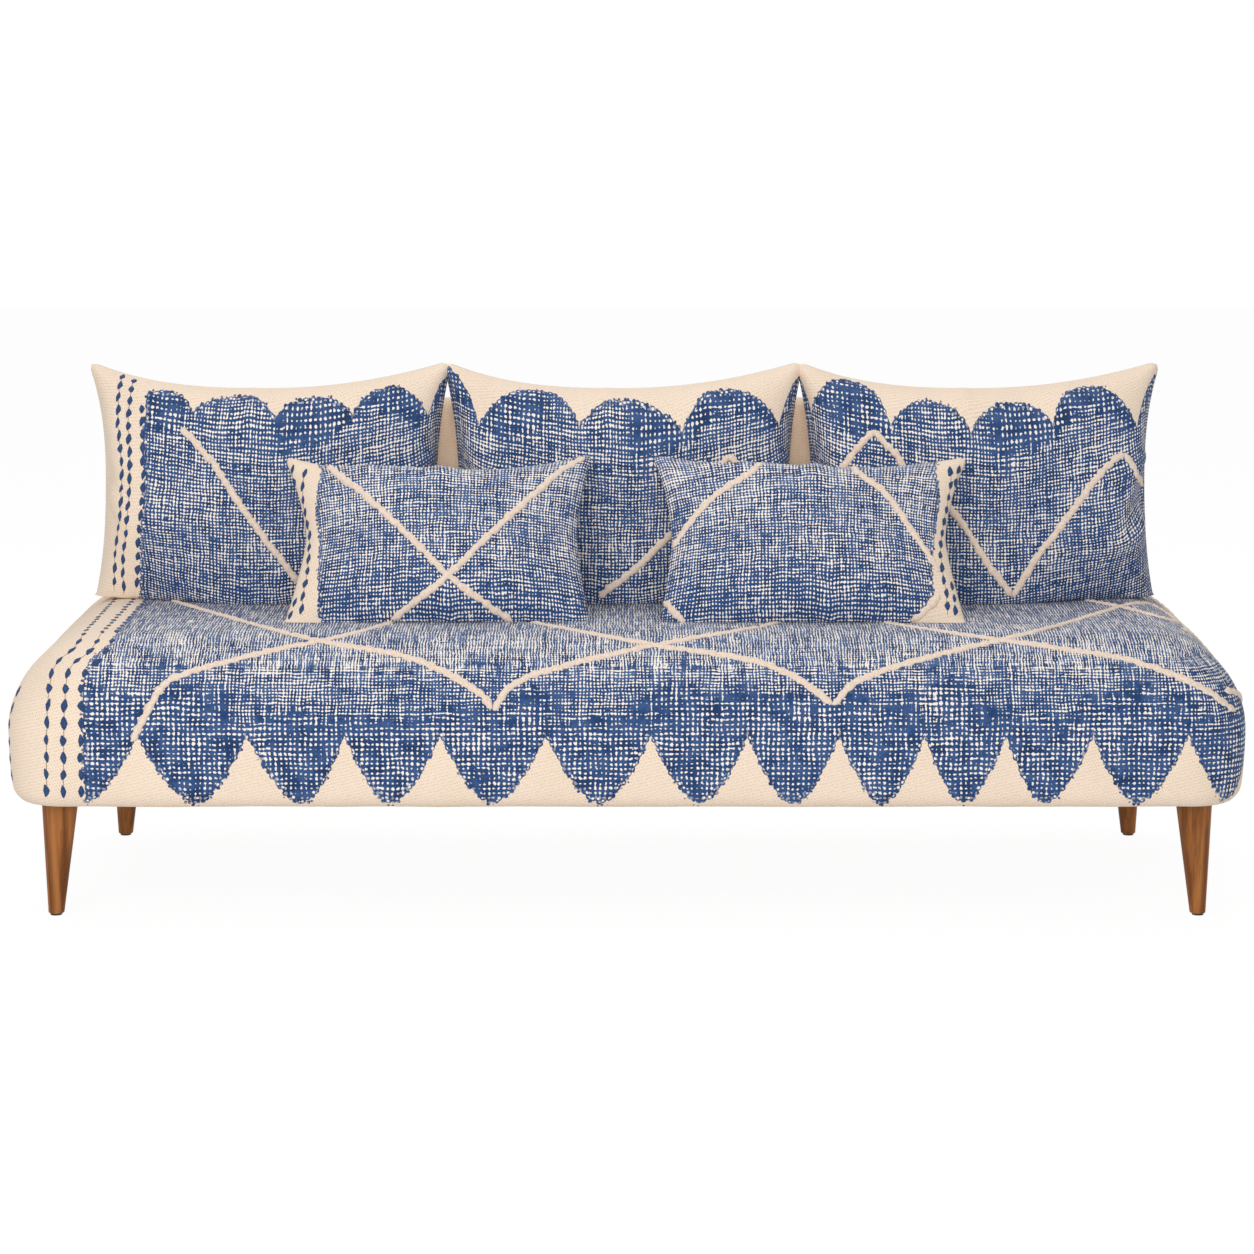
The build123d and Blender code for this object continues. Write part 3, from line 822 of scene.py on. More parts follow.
def extrude_rim(mesh_work, rim):
    """Extrude a closed rim of edges: the new rim, and the old corner that each new one came from."""
    made = bmesh.ops.extrude_edge_only(mesh_work, edges=rim)["geom"]
    edges = [g for g in made if isinstance(g, bmesh.types.BMEdge)]
    new_verts = {g for g in made if isinstance(g, bmesh.types.BMVert)}
    fresh = [e for e in edges if e.verts[0] in new_verts and e.verts[1] in new_verts]
    source = {}
    for vert in new_verts:
        for edge in vert.link_edges:
            other = edge.other_vert(vert)
            if other not in new_verts:
                source[vert] = other
    return fresh, source


# Yarn lines, dashes and seams on a finished surface


class Skin:
    """The surface of a finished piece, for laying things on it."""

    def __init__(self, piece):
        finished = piece.evaluated_get(bpy.context.evaluated_depsgraph_get())
        self.mesh = bpy.data.meshes.new_from_object(finished)
        corners = [vert.co.copy() for vert in self.mesh.vertices]
        self.tree = BVHTree.FromPolygons(corners, [tuple(face.vertices) for face in self.mesh.polygons])

    def seen(self, pixel):
        """Where the camera sees a pixel of the photograph on this surface: the place and its normal."""
        place, normal, _, _ = self.tree.ray_cast(camera_place, sight(pixel))
        return None if place is None else (place, normal)

    def nearest(self, place):
        place, normal, _, _ = self.tree.find_nearest(place)
        return place, normal

    def trail_seen(self, pixels):
        """An even trail along the smooth line through some pixels, where they fall on this surface."""
        return even_trail([self.seen(p) for p in smooth_curve(pixels)], yarn_step)

    def trail_near(self, places, per_span=12):
        """An even trail on this surface beside the smooth line through some places."""
        return even_trail([self.nearest(p) for p in smooth_curve(places, per_span)], yarn_step)

    def cloth_at(self, pixel):
        """The cloth lengths of the place that the camera sees at a pixel or close beside it."""
        for aside in sideways_search:
            place, _, index, _ = self.tree.ray_cast(camera_place, sight((pixel[0] + aside, pixel[1])))
            if place:
                break
        else:
            return None
        face = self.mesh.polygons[index]
        weights = poly_3d_calc([self.mesh.vertices[i].co for i in face.vertices], place)
        layer = self.mesh.uv_layers["cloth"].data
        return sum((layer[loop].uv * w for loop, w in zip(face.loop_indices, weights)), Vector((0, 0)))


def smooth_curve(points, per_span=12):
    """Points along a smooth curve through the given ones."""
    given = [Vector(p) for p in points]
    given = [given[0] * 2 - given[1]] + given + [given[-1] * 2 - given[-2]]
    found = []
    for i in range(1, len(given) - 2):
        a, b, c, d = given[i - 1:i + 3]
        for k in range(per_span):
            t = k / per_span
            found.append(b + (c - a) * (t / 2) + (a * 2 - b * 5 + c * 4 - d) * (t * t / 2)
                         + (b * 3 - a - c * 3 + d) * (t ** 3 / 2))
    return found + [given[-2]]


def even_trail(hits, step):
    """Places and normals at even distances along a row of hits on a surface."""
    hits = [h for h in hits if h is not None]
    if len(hits) < 6:
        return []
    trail = [hits[0]]
    carried = 0.0
    for before, after in zip(hits, hits[1:]):
        span = (after[0] - before[0]).length
        while carried + span >= step and span > 0:
            share = (step - carried) / span
            before = (before[0].lerp(after[0], share), before[1].lerp(after[1], share).normalized())
            trail.append(before)
            span = (after[0] - before[0]).length
            carried = 0.0
        carried += span
    return trail


def lay_yarn(mesh_work, trail, width, height, sides=10, tufted=1.0):
    """A soft flattened yarn along a trail, with tufts where it is couched down. Its ends are closed later."""
    last = len(trail) - 1
    if last < 3:
        return
    verts = bmesh.ops.create_grid(mesh_work, x_segments=sides, y_segments=last, size=0.5)["verts"]
    rings = []
    for i, (place, normal) in enumerate(trail):
        ahead = (trail[min(i + 1, last)][0] - trail[max(i - 1, 0)][0]).normalized()
        across = normal.cross(ahead).normalized()
        tuft = abs(math.sin(math.pi * i * yarn_step / tuft_pitch + noise.noise(place * 20.0) * 2.0))
        swell = 1 + tufted * ((tuft - 0.6) * 0.46 + noise.noise(place * 140.0) * 0.34)
        sway = across * (tufted * width * 0.20 * noise.noise(place * 80.0 + Vector((9, 2, 4))))
        size = swell * min(1.0, 0.35 + 0.33 * min(i, last - i))
        rings.append((place + sway, across * (width / 2 * size), normal * (height * size)))
    for vert in verts:
        turn = 2 * math.pi * round((vert.co.x + 0.5) * sides) / sides
        middle, side, up = rings[round((vert.co.y + 0.5) * last)]
        vert.co = middle + side * math.cos(turn) + up * math.sin(turn)
    bmesh.ops.remove_doubles(mesh_work, verts=verts, dist=0.000001)


def lay_dashes(mesh_work, trail, pitch, dash, lean_angle, chance):
    """Short pointed stitches along a trail. A dash is its length, width and height."""
    length, width, height = dash
    every = max(1, round(pitch / yarn_step))
    for i in range(every // 2, len(trail) - 1, every):
        place, normal = trail[i]
        ahead = (trail[i + 1][0] - trail[i - 1][0]).normalized()
        ahead.rotate(Matrix.Rotation(lean_angle + chance.uniform(-0.16, 0.16), 3, normal))
        across = normal.cross(ahead).normalized()
        up = ahead.cross(across).normalized()
        half = (width / 2 * chance.uniform(0.8, 1.15), height, length / 2 * chance.uniform(0.8, 1.12))
        bend = chance.uniform(-0.45, 0.45)
        verts = bmesh.ops.create_uvsphere(mesh_work, u_segments=8, v_segments=6, radius=1.0)["verts"]
        for vert in verts:
            along = vert.co.z
            taper = 1 - 0.42 * abs(along)
            vert.co.x = vert.co.x * taper + bend * along * along
            vert.co.y *= taper
        shift = across * chance.uniform(-0.0010, 0.0010)
        turn = Matrix((across * half[0], up * half[1], ahead * half[2])).transposed().to_4x4()
        bmesh.ops.transform(mesh_work, matrix=Matrix.Translation(place + shift) @ turn, verts=verts)


def add_trim(name, mesh_work, body, material):
    """Close the ends of some yarns or dashes, and make them one piece."""
    bmesh.ops.holes_fill(mesh_work, edges=[e for e in mesh_work.edges if e.is_boundary], sides=0)
    bmesh.ops.recalc_face_normals(mesh_work, faces=mesh_work.faces)
    return dress(place_piece(name, mesh_work, body), material)


def cream_yarn():
    """Thick loose cotton yarn, couched down on the print."""
    finish = Finish("cream_yarn")
    place = finish.place()
    strands = finish.noise(place, 330.0, 3.0, 0.6)
    tufts = finish.noise(place, 110.0, 2.0)
    colour = finish.blend(strands.rise(0.30, 0.75), yarn_cream, yarn_shade)
    normal = finish.bump(strands * 0.5 + tufts, 0.0014, 0.9)
    return finish.surface(
        Base_Color=colour, Roughness=0.92, Sheen_Weight=0.1, Specular_IOR_Level=0.15, Normal=normal
    )


def blue_thread():
    finish = Finish("blue_thread")
    place = finish.place()
    strands = finish.noise(finish.stretched(place, (1.0, 1.0, 0.4)), 700.0, 2.0, 0.6)
    colour = finish.blend(strands.rise(0.35, 0.75), (0.018, 0.044, 0.125, 1), (0.055, 0.11, 0.26, 1))
    normal = finish.bump(strands, 0.0007, 0.8)
    return finish.surface(
        Base_Color=colour, Roughness=0.85, Sheen_Weight=0.1, Specular_IOR_Level=0.2, Normal=normal
    )


def brown_thread():
    finish = Finish("brown_thread")
    twist = finish.noise(finish.place(), 900.0, 2.0)
    colour = finish.blend(twist, (0.30, 0.175, 0.09, 1), (0.46, 0.30, 0.18, 1))
    return finish.surface(Base_Color=colour, Roughness=0.85, Normal=finish.bump(twist, 0.0003))


def wrap_place(x, arc):
    """A point on the seat's cloth at a distance X along it and a cloth length up from the front's bottom."""
    top_end = face_height + round_length + (rear_y - rear_round) - (front_y + top_round)
    rear_quarter = rear_round * math.pi / 2
    if arc < face_height:
        return Vector((x, front_y, seat_bottom + arc))
    if arc < face_height + round_length:
        turn = (arc - face_height) / top_round
        return Vector((x, front_y + top_round * (1 - math.cos(turn)), belly_z + top_round * math.sin(turn)))
    if arc < top_end:
        return Vector((x, front_y + top_round + arc - face_height - round_length, seat_top))
    turn = min(1.0, (arc - top_end) / rear_quarter) * math.radians(90)
    down = max(0.0, arc - top_end - rear_quarter)
    y = rear_y - rear_round * (1 - math.sin(turn))
    return Vector((x, y, seat_top - rear_round * (1 - math.cos(turn)) - down))


def trim_seat(cover, materials):
    """The couched lines and the stitched dashes on the seat's cover."""
    skin = Skin(cover)
    yarn = bmesh.new()
    for pixels in seat_lines:
        lay_yarn(yarn, skin.trail_seen(pixels), yarn_width, yarn_height)
    for places in hidden_lines:
        flat = [(x, y, seat_top) for x, y in places]
        lay_yarn(yarn, skin.trail_near(flat), yarn_width, yarn_height)
    for places in end_lines:
        lay_yarn(yarn, skin.trail_near(places), yarn_width, yarn_height)
    add_trim("seat_lines", yarn, "base", materials["yarn"])
    chance = random.Random(5)
    dashes = bmesh.new()
    thread = bmesh.new()
    for i, column in enumerate(seat_columns):
        trail = even_trail([skin.nearest(wrap_place(*p)) for p in smooth_curve(column, 30)], yarn_step)
        flat = next(k for k, (place, _) in enumerate(trail) if place.y > front_y + top_round * 0.8)
        lay_dashes(dashes, trail[:flat], dash_pitch, front_dash, 0.0, chance)
        lay_dashes(dashes, trail[flat:], dash_pitch, top_dash, top_dash_lean, chance)
        if i < threaded_columns:
            lay_yarn(thread, trail, thread_width, thread_height, 6, 0.3)
    edge = [wrap_place(end_dash_x, arc) for arc in end_dash_lengths]
    edge = [Vector((p.x, front_y + end_dash_setback, p.z)) for p in edge]
    trail = even_trail([skin.nearest(p) for p in edge], yarn_step)
    lay_dashes(dashes, trail, dash_pitch, front_dash, 0.0, chance)
    add_trim("seat_dashes", dashes, "base", materials["blue"])
    add_trim("seat_dash_thread", thread, "base", materials["brown"])


def figure_cushion(piece, print_plan):
    """Lay a cushion's print over its cloth: its domes' phase and height, and the distance from its band."""
    skin = Skin(piece)
    layer = piece.data.uv_layers["cloth"].data
    figure = piece.data.uv_layers.new(name="figure").data
    band = piece.data.uv_layers.new(name="band").data
    cusps = [skin.cloth_at(p) for p in print_plan.get("cusps", ())]
    peaks = [skin.cloth_at(p) for p in print_plan.get("peaks", ())]
    cusps = [c for c in cusps if c]
    peaks = [c for c in peaks if c]
    edge = [skin.cloth_at(p) for p in print_plan.get("band", print_plan.get("right_band", ()))]
    edge = sorted((c for c in edge if c), key=lambda c: c.y)
    sign = 1 if "band" in print_plan else -1
    for i, uv in enumerate(item.uv.copy() for item in layer):
        phase, rise, size = dome_place(uv, cusps, peaks) if cusps else plain_figure
        figure[i].uv = (phase, rise)
        band[i].uv = (sign * (uv.x - along_edge(edge, uv.y)) if edge else 1.0, size)


def along_edge(edge, v):
    """Where a band's edge is at one height."""
    if v <= edge[0].y:
        return edge[0].x
    for low, high in zip(edge, edge[1:]):
        if v <= high.y:
            return low.x + (high.x - low.x) * (v - low.y) / max(1e-6, high.y - low.y)
    return edge[-1].x


def dome_place(uv, cusps, peaks):
    """Between which cusps a point is, how high it is in dome heights, and the dome's height."""
    spans = list(zip(cusps, cusps[1:]))
    i = 0
    while i < len(spans) - 1 and uv.x > spans[i][1].x:
        i += 1
    low, high = spans[i]
    share = (uv.x - low.x) / (high.x - low.x)
    base = low.y + (high.y - low.y) * min(1.4, max(-0.4, share))
    peak = peaks[min(i, len(peaks) - 1)]
    peak_share = (peak.x - low.x) / (high.x - low.x)
    size = max(least_dome, peak.y - (low.y + (high.y - low.y) * peak_share))
    if not 0 <= share <= 1:
        size *= outer_dome_growth
    return i + share, (uv.y - base) / size, size


def trim_cushion(piece, body, print_plan, materials):
    """A cushion's couched lines, and its dashes with the thread that joins them."""
    skin = Skin(piece)
    yarn = bmesh.new()
    for pixels in print_plan["lines"]:
        lay_yarn(yarn, skin.trail_seen(pixels), yarn_width, yarn_height)
    add_trim(body + "_lines", yarn, body, materials["yarn"])
    chance = random.Random(body)
    if "dashes" in print_plan:
        dashes = bmesh.new()
        thread = bmesh.new()
        for i, pixels in enumerate(print_plan["dashes"]):
            trail = skin.trail_seen(pixels)
            lay_dashes(dashes, trail, cushion_dash_pitch, cushion_dash, cushion_dash_lean, chance)
            if i < threaded_columns:
                lay_yarn(thread, trail, thread_width, thread_height, 6, 0.3)
        add_trim(body + "_dashes", dashes, body, materials["blue"])
        add_trim(body + "_dash_thread", thread, body, materials["brown"])


# Cushions


def make_bag(width, height, cell):
    """A flat bag of two equal panels, joined at their edges, with its cloth lengths as its UV map."""
    mesh_work = bmesh.new()
    cloth = mesh_work.loops.layers.uv.new("cloth")
    across = round(width / cell)
    up = round(height / cell)
    bmesh.ops.create_grid(mesh_work, x_segments=across, y_segments=up, size=0.5)
    bmesh.ops.scale(mesh_work, vec=(width, height, 1), verts=mesh_work.verts)
    bmesh.ops.rotate(mesh_work, matrix=Matrix.Rotation(math.radians(90), 3, "X"), verts=mesh_work.verts)
    for face in mesh_work.faces:
        for loop in face.loops:
            loop[cloth].uv = (loop.vert.co.x, loop.vert.co.z)
    for vert in mesh_work.verts:
        share = (1 - (2 * vert.co.x / width) ** 2) * (1 - (2 * vert.co.z / height) ** 2)
        vert.co.y = -first_bulge * max(0.0, share)
    copied = bmesh.ops.duplicate(mesh_work, geom=mesh_work.faces[:])["geom"]
    faces = [g for g in copied if isinstance(g, bmesh.types.BMFace)]
    verts = [g for g in copied if isinstance(g, bmesh.types.BMVert)]
    for face in faces:
        face.material_index = 1
    bmesh.ops.scale(mesh_work, vec=(1, -1, 1), verts=verts)
    bmesh.ops.reverse_faces(mesh_work, faces=faces)
    bmesh.ops.remove_doubles(mesh_work, verts=mesh_work.verts, dist=0.00001)
    return make_object("bag", mesh_work)


def blow_up(bag, volume):
    """Fill a bag by cloth pressure, and keep the shape that it settles to."""
    cloth = bag.modifiers.new("cloth", "CLOTH")
    cloth.settings.quality = 5
    cloth.settings.mass = 0.25
    cloth.settings.air_damping = 4.0
    cloth.settings.tension_stiffness = cloth_stiffness
    cloth.settings.compression_stiffness = cloth_stiffness
    cloth.settings.shear_stiffness = cloth_stiffness / 4
    cloth.settings.bending_stiffness = 0.3
    for way in ("tension", "compression", "shear"):
        setattr(cloth.settings, way + "_damping", 10.0)
    cloth.settings.use_pressure = True
    cloth.settings.uniform_pressure_force = 1.0
    cloth.settings.use_pressure_volume = True
    cloth.settings.target_volume = volume
    cloth.settings.effector_weights.gravity = 0
    cloth.point_cache.frame_end = blow_frames + 1
    for step in range(1, blow_frames + 1):
        scene.frame_set(step)
    settled = bag.evaluated_get(bpy.context.evaluated_depsgraph_get()).to_mesh()
    places = [vert.co.copy() for vert in settled.vertices]
    bag.modifiers.remove(cloth)
    for vert, place in zip(bag.data.vertices, places):
        vert.co = place
    scene.frame_set(1)
    mesh_work = bmesh.new()
    mesh_work.from_mesh(bag.data)
    inner = [v for v in mesh_work.verts if len({face.material_index for face in v.link_faces}) == 1]
    for _ in range(smoothing_rounds):
        bmesh.ops.smooth_vert(
            mesh_work, verts=inner, factor=0.5, use_axis_x=True, use_axis_y=True, use_axis_z=True
        )
    mesh_work.to_mesh(bag.data)
    mesh_work.free()


def stretch_to(places, width, height, front, rear):
    """Scale a filled bag to its corner-to-corner width and height and its two crowns."""
    half_x = max(p.x for p in places)
    half_z = max(p.z for p in places)
    front_now = -min(p.y for p in places)
    rear_now = max(p.y for p in places)
    for p in places:
        p.x *= width / 2 / half_x
        p.z *= height / 2 / half_z
        p.y *= front / front_now if p.y < 0 else rear / rear_now


def fill_bag(shape):
    """A filled bag, and the places of its corners before and after it was filled."""
    bag = make_bag(*shape["panel"], shape["cell"])
    flat = [(vert.co.x, vert.co.z) for vert in bag.data.vertices]
    blow_up(bag, shape["volume"])
    return bag, flat, [vert.co.copy() for vert in bag.data.vertices]


def draw_seam(flat, places, width, height, sags, bows, side_bows, corners):
    """Bring the seam to its drawn line, and let the cloth beside it follow, less towards the middle."""
    reach_u = max(u for u, _ in flat)
    reach_v = max(v for _, v in flat)
    columns = len({round(u, 5) for u, v in flat if v > reach_v * 0.9999}) - 1
    rows = len({round(v, 5) for u, v in flat if u > reach_u * 0.9999}) - 1
    keys = [(round((u / reach_u + 1) / 2 * columns), round((v / reach_v + 1) / 2 * rows)) for u, v in flat]
    shares = [(2 * i / columns - 1, 2 * j / rows - 1) for i, j in keys]
    moves = {}
    for key, (s, t), p in zip(keys, shares, places):
        if abs(s) < 1 and abs(t) < 1:
            continue
        x = s * (width / 2 + sags["flare"] * max(0.0, t) ** 3)
        z = t * height / 2
        if abs(t) == 1:
            sag = sags["top" if t > 0 else "low"]
            z -= t * sag * (1 - abs(s) ** bows[0 if s < 0 else 1])
        if abs(s) == 1:
            sag = sags["right" if s > 0 else "left"]
            x -= s * sag * (1 - abs(t) ** side_bows[0 if s < 0 else 1])
        radius = corners["top" if t > 0 else "low"]
        along = min((1 - abs(s)) * width / 2 + (1 - abs(t)) * height / 2, radius)
        turn = math.radians(45) * (1 - along / radius)
        inward = radius - radius * math.sin(turn) - along
        aside = radius * (1 - math.cos(turn))
        if s:
            x -= math.copysign(1, s) * (inward if abs(t) == 1 else aside)
        if t:
            z -= math.copysign(1, t) * (aside if abs(t) == 1 else inward)
        moves[key] = Vector((x, 0, z)) - p
    for (i, j), (s, t), p in zip(keys, shares, places):
        ends_s = ((0, max(0.0, -s) ** seam_reach), (columns, max(0.0, s) ** seam_reach))
        ends_t = ((0, max(0.0, -t) ** seam_reach), (rows, max(0.0, t) ** seam_reach))
        for end_i, share_s in ends_s:
            p += moves[end_i, j] * share_s
            for end_j, share_t in ends_t:
                p -= moves[end_i, end_j] * (share_s * share_t)
        for end_j, share_t in ends_t:
            p += moves[i, end_j] * share_t


def settle(places, amount, front, rear):
    """Let the filling sink: the fuller a place, the lower it goes."""
    for p in places:
        depth = -p.y / front if p.y < 0 else p.y / rear
        p.z -= amount * max(0.0, min(1.0, depth)) ** sink_power


def finish_cushion(body, bag, places):
    """Put a cushion's shaped cloth in its place, with its seam creased."""
    for vert, place in zip(bag.data.vertices, places):
        vert.co = place
    mesh_work = bmesh.new()
    mesh_work.from_mesh(bag.data)
    bpy.data.objects.remove(bag)
    crease = mesh_work.edges.layers.float.new("crease_edge")
    seam = [e for e in mesh_work.edges if len({face.material_index for face in e.link_faces}) > 1]
    for edge in seam:
        at_corner = any(len(vert.link_faces) == 2 for vert in edge.verts)
        edge[crease] = 0.0 if at_corner else seam_crease
    piece = place_piece(
        body + "_cloth", mesh_work, body, (body + "_cover", body + "_fill"), 1
    )
    return piece


def rest_on(places, floor_z):
    """Flatten what would sink into the seat."""
    for p in places:
        if p.z < floor_z:
            p.z = floor_z


def make_back_cushion(name, middle_x, width):
    """A back cushion's cloth, which leans on the backrest and stands on the seat."""
    bag, flat, places = fill_bag(cushion_bag)
    stretch_to(places, width, cushion_height, cushion_front_crown, cushion_rear_crown)
    draw_seam(flat, places, width, cushion_height, cushion_sags[name], cushion_bows,
              cushion_side_bows[name], cushion_corners)
    settle(places, cushion_settle, cushion_front_crown, cushion_rear_crown)
    backrest_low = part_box("backrest_cover")[0]
    tilt = Matrix.Rotation(-lean, 4, "X")
    for p in places:
        p.y -= cushion_seam_setback
        p.z += cushion_low_along
        if p.y > -rest_gap:
            p.y = -rest_gap
        p.rotate(tilt)
        p += Vector((middle_x, backrest_low.y, seat_top))
    rest_on(places, seat_top + rest_gap)
    return finish_cushion(name, bag, places)


def make_lumbar_cushion(name, turn):
    """A lumbar cushion's cloth, which leans on the back cushions and droops where it stands on the seat."""
    bag, flat, places = fill_bag(lumbar_bag)
    stretch_to(places, lumbar_width, lumbar_height, lumbar_crown, lumbar_crown)
    draw_seam(flat, places, lumbar_width, lumbar_height, lumbar_sags[name], lumbar_bows,
              lumbar_side_bows, lumbar_corners)
    low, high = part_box(name + "_cover")
    pose = Matrix.Rotation(-lumbar_lean, 4, "X") @ Matrix.Rotation(turn, 4, "Y")
    for p in places:
        p.rotate(pose)
    shift = Vector((
        (low.x + high.x) / 2,
        high.y - max(p.y for p in places),
        high.z - max(p.z for p in places),
    ))
    for p in places:
        p += shift
        low_share = max(0.0, 1 - (p.z - seat_top) / droop_reach) ** droop_power
        p.z -= lumbar_droop * low_share
        p.y -= lumbar_spread * low_share
    rest_on(places, seat_top + rest_gap)
    return finish_cushion(name, bag, places)


# Frame's materials


def walnut():
    finish = Finish("walnut_leg")
    place = finish.place()
    long_grain = finish.stretched(place, (1.0, 1.0, 0.05))
    rings = finish.noise(long_grain, 60.0, 4.0, 0.6)
    pores = finish.noise(finish.stretched(place, (1.0, 1.0, 0.02)), 420.0, 3.0, 0.7)
    colour = finish.blend(rings.rise(0.35, 0.68), walnut_light, walnut_dark)
    colour = finish.blend(pores.rise(0.58, 0.72) * 0.7, colour, walnut_pore)
    normal = finish.bump(pores * -1.0, 0.0004, 0.5)
    rough = 0.46 + pores * 0.16
    return finish.surface(Base_Color=colour, Roughness=rough, Normal=normal, Specular_IOR_Level=0.18)


def grained_wood(name, coarseness, grain_noise, light, dark, roughness, relief):
    """Sawn wood whose grain runs along X; the noise is its scale, detail and roughness."""
    finish = Finish(name)
    grain = finish.noise(finish.stretched(finish.place(), (coarseness, 1.0, 1.0)), *grain_noise)
    colour = finish.blend(grain.rise(0.3, 0.7), light, dark)
    return finish.surface(Base_Color=colour, Roughness=roughness, Normal=finish.bump(grain, relief))


def nonwoven():
    """The black lining under the seat: pressed fibre with a fine grid of bonding points."""
    finish = Finish("underlining")
    x, y, _ = finish.split(finish.place())
    turns = 2 * math.pi / 0.0032
    grid = (x * turns).cosine() * (y * turns).cosine()
    fibre = finish.noise(finish.place(), 500.0, 3.0, 0.7)
    colour = finish.blend(fibre, (0.012, 0.012, 0.013, 1), (0.035, 0.035, 0.037, 1))
    normal = finish.bump(grid.rise(0.1, 0.8) * -0.6 + fibre * 0.4, 0.0005)
    return finish.surface(Base_Color=colour, Roughness=0.85, Normal=normal)


def moulded_plastic():
    finish = Finish("glide_plastic")
    speckle = finish.noise(finish.place(), 900.0, 2.0)
    return finish.surface(
        Base_Color=(0.012, 0.012, 0.012, 1), Roughness=0.42 + speckle * 0.2, Normal=finish.bump(speckle, 0.0001)
    )


def zinc():
    finish = Finish("zinc_steel")
    spangle = finish.noise(finish.place(), 260.0, 2.0)
    colour = finish.blend(spangle, (0.52, 0.53, 0.55, 1), (0.68, 0.68, 0.69, 1))
    return finish.surface(Base_Color=colour, Metallic=1.0, Roughness=0.28 + spangle * 0.16)


def filling(name, light, dark):
    finish = Finish(name)
    fluff = finish.noise(finish.place(), 120.0, 4.0, 0.7)
    colour = finish.blend(fluff.rise(0.3, 0.7), light, dark)
    return finish.surface(Base_Color=colour, Roughness=0.95, Normal=finish.bump(fluff, 0.002))


def dress_frame():
    """Give each CAD node the finish of its material slot."""
    made = {
        "walnut_leg": walnut(),
        "frame_timber": grained_wood(
            "frame_timber", 0.06, (70.0, 3.0, 0.6), (0.62, 0.42, 0.22, 1), (0.42, 0.25, 0.11, 1), 0.7, 0.0006
        ),
        "plywood": grained_wood(
            "plywood", 0.05, (45.0, 4.0, 0.65), (0.58, 0.40, 0.22, 1), (0.44, 0.27, 0.13, 1), 0.65, 0.0004
        ),
        "underlining": nonwoven(),
        "glide_plastic": moulded_plastic(),
        "zinc_steel": zinc(),
        "foam": filling("foam", (0.80, 0.72, 0.42, 1), (0.68, 0.58, 0.30, 1)),
        "fibre_fill": filling("fibre_fill", (0.86, 0.86, 0.84, 1), (0.72, 0.72, 0.70, 1)),
        "plain_cotton": plain_cotton("lining_cotton"),
        "printed_seat_cloth": plain_cotton("seat_lining"),
        "printed_cushion_cloth": plain_cotton("cushion_lining"),
    }
    for part in frame["record"]["subparts"]:
        dress(nodes[part["node"]], made[part["material_slot"]])


# Backrest


def make_backrest_cover():
    """The backrest's cotton cover: a slab with round edges, leant back and cut level with the seat."""
    low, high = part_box("backrest_cover")
    thickness = backrest_thickness
    height = backrest_height
    half_x = high.x
    mesh_work = bmesh.new()
    bmesh.ops.create_cube(mesh_work, size=1.0)
    bmesh.ops.scale(mesh_work, vec=(2 * half_x, thickness, height + thickness), verts=mesh_work.verts)
    bmesh.ops.translate(mesh_work, vec=(0, thickness / 2, (height - thickness) / 2), verts=mesh_work.verts)
    edges = [e for e in mesh_work.edges if max(v.co.z for v in e.verts) > 0]
    bmesh.ops.bevel(
        mesh_work, geom=edges, offset=backrest_round, offset_type="OFFSET", segments=6, profile=0.5,
        affect="EDGES", material=-1, clamp_overlap=True,
    )
    for i in range(1, backrest_cuts):
        x = -half_x + backrest_round + (2 * half_x - 2 * backrest_round) * i / backrest_cuts
        slice_at(mesh_work, (x, 0, 0), (1, 0, 0))
    for i in range(1, backrest_rows):
        slice_at(mesh_work, (0, 0, (height - backrest_round) * i / backrest_rows), (0, 0, 1))
    tilt = Matrix.Rotation(-lean, 3, "X")
    bmesh.ops.rotate(mesh_work, matrix=tilt, verts=mesh_work.verts)
    bmesh.ops.translate(mesh_work, vec=(0, low.y, seat_top), verts=mesh_work.verts)
    whole = mesh_work.verts[:] + mesh_work.edges[:] + mesh_work.faces[:]
    cut = bmesh.ops.bisect_plane(
        mesh_work, geom=whole, dist=0.00001, plane_co=(0, 0, seat_top), plane_no=(0, 0, -1), clear_outer=True
    )["geom_cut"]
    bmesh.ops.contextual_create(mesh_work, geom=[g for g in cut if isinstance(g, bmesh.types.BMEdge)])
    bmesh.ops.recalc_face_normals(mesh_work, faces=mesh_work.faces)
    cloth = mesh_work.loops.layers.uv.new("cloth")
    for face in mesh_work.faces:
        on_side = abs(face.normal.x) > 0.7
        slope = 0.0 if on_side else (-1.0 if face.normal.y > 0.25 else 1.0)
        for loop in face.loops:
            place = loop.vert.co
            loop[cloth].uv = (place.y if on_side else place.x, (place.z - seat_top) + slope * place.y)
    piece = place_piece(
        "backrest_cloth", mesh_work, "base",
        ("backrest_cover", "backrest_foam", "backrest_wadding"),
    )
    dress(piece, plain_cotton("backrest_cotton"))


def slice_at(mesh_work, place, normal):
    """Cut a line of edges right round a form."""
    whole = mesh_work.verts[:] + mesh_work.edges[:] + mesh_work.faces[:]
    bmesh.ops.bisect_plane(mesh_work, geom=whole, dist=0.00001, plane_co=place, plane_no=normal)


# Floor, backdrop and light


def seen_directly(tree):
    """1 for what the camera sees, also in a reflection or through glass, and 0 for light that bounces."""
    path = tree.nodes.new("ShaderNodeLightPath")
    found = path.outputs["Is Camera Ray"]
    for kind in ("Is Glossy Ray", "Is Transmission Ray"):
        either = tree.nodes.new("ShaderNodeMath")
        either.operation = "MAXIMUM"
        tree.links.new(found, either.inputs[0])
        tree.links.new(path.outputs[kind], either.inputs[1])
        found = either.outputs[0]
    return found


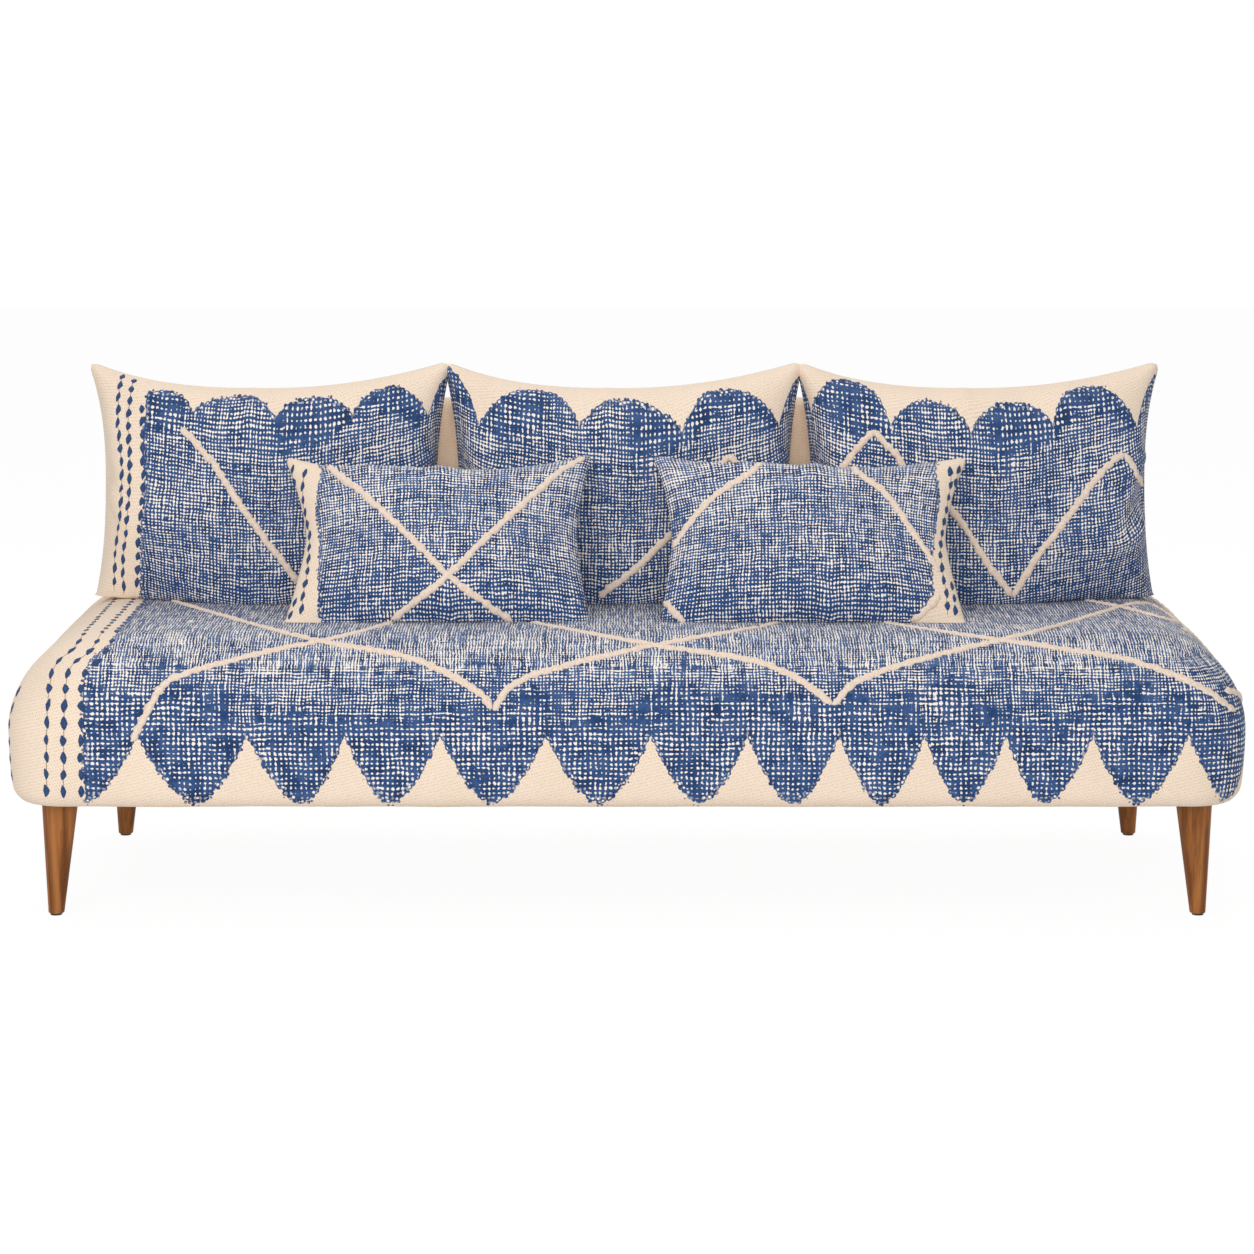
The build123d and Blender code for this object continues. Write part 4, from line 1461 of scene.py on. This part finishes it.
def mix_surfaces(tree, share, first, second, output):
    """Show the first shader where share is 0 and the second where it is 1."""
    mix = tree.nodes.new("ShaderNodeMixShader")
    for socket, source in zip(mix.inputs, (share, first, second)):
        tree.links.new(source, socket)
    tree.links.new(mix.outputs[0], tree.nodes[output].inputs["Surface"])


def make_floor():
    """A pale floor that the camera sees as nearly white, with a share of its own shading."""
    mesh_work = bmesh.new()
    bmesh.ops.create_grid(mesh_work, x_segments=1, y_segments=1, size=floor_reach)
    floor = make_object("floor", mesh_work)
    finish = Finish("floor_white")
    dress(floor, finish.surface(Base_Color=floor_grey, Roughness=0.9, Specular_IOR_Level=0.0))
    glow = finish.node("ShaderNodeEmission", {}, {"Color": white, "Strength": floor_glow})
    share = Value(finish, seen_directly(finish.tree)) * floor_glow_share
    mix_surfaces(finish.tree, share.socket, finish.shader.outputs[0], glow.socket, "Material Output")


def set_surround():
    """A white surround, which lights the sofa less than it shows."""
    world = bpy.data.worlds.new("surround")
    scene.world = world
    world.use_nodes = True
    tree = world.node_tree
    light = tree.nodes["Background"]
    bright = tree.nodes.new("ShaderNodeBackground")
    for shader, strength in ((light, surround_light), (bright, 1.0)):
        shader.inputs["Color"].default_value = white
        shader.inputs["Strength"].default_value = strength
    mix_surfaces(tree, seen_directly(tree), light.outputs[0], bright.outputs[0], "World Output")


def set_lamp(name, place, size, power):
    data = bpy.data.lights.new(name, "AREA")
    data.shape = "SQUARE"
    data.size = size
    data.energy = power
    lamp = bpy.data.objects.new(name, data)
    lamp.location = place
    lamp.rotation_euler = (lamp_aim - Vector(place)).to_track_quat("-Z", "Y").to_euler()
    scene.collection.objects.link(lamp)


set_camera()
dress_frame()
trims = {"yarn": cream_yarn(), "blue": blue_thread(), "brown": brown_thread()}
trim_seat(make_seat_cover(), trims)
make_backrest_cover()
for side, (middle, width) in cushion_places.items():
    body = "back_cushion_" + side
    piece = make_back_cushion(body, middle, width)
    cloth = printed_cloth(body + "_print", cushion_blue, cushion_coarse, nowhere, cushion_painted_shade)
    dress(piece, cloth, plain_cotton(body + "_back"))
    figure_cushion(piece, cushion_prints[body])
    trim_cushion(piece, body, cushion_prints[body], trims)
for side, turn in lumbar_turns.items():
    body = "lumbar_cushion_" + side
    piece = make_lumbar_cushion(body, math.radians(turn))
    cloth = printed_cloth(body + "_print", cushion_blue, nowhere, nowhere, lumbar_paling_and_painted_shade)
    dress(piece, cloth, plain_cotton(body + "_back"))
    figure_cushion(piece, cushion_prints[body])
    trim_cushion(piece, body, cushion_prints[body], trims)
make_floor()
set_surround()
for name, (place, width, power) in lamps.items():
    set_lamp(name, place, width, power)
scene.view_settings.view_transform = "Standard"
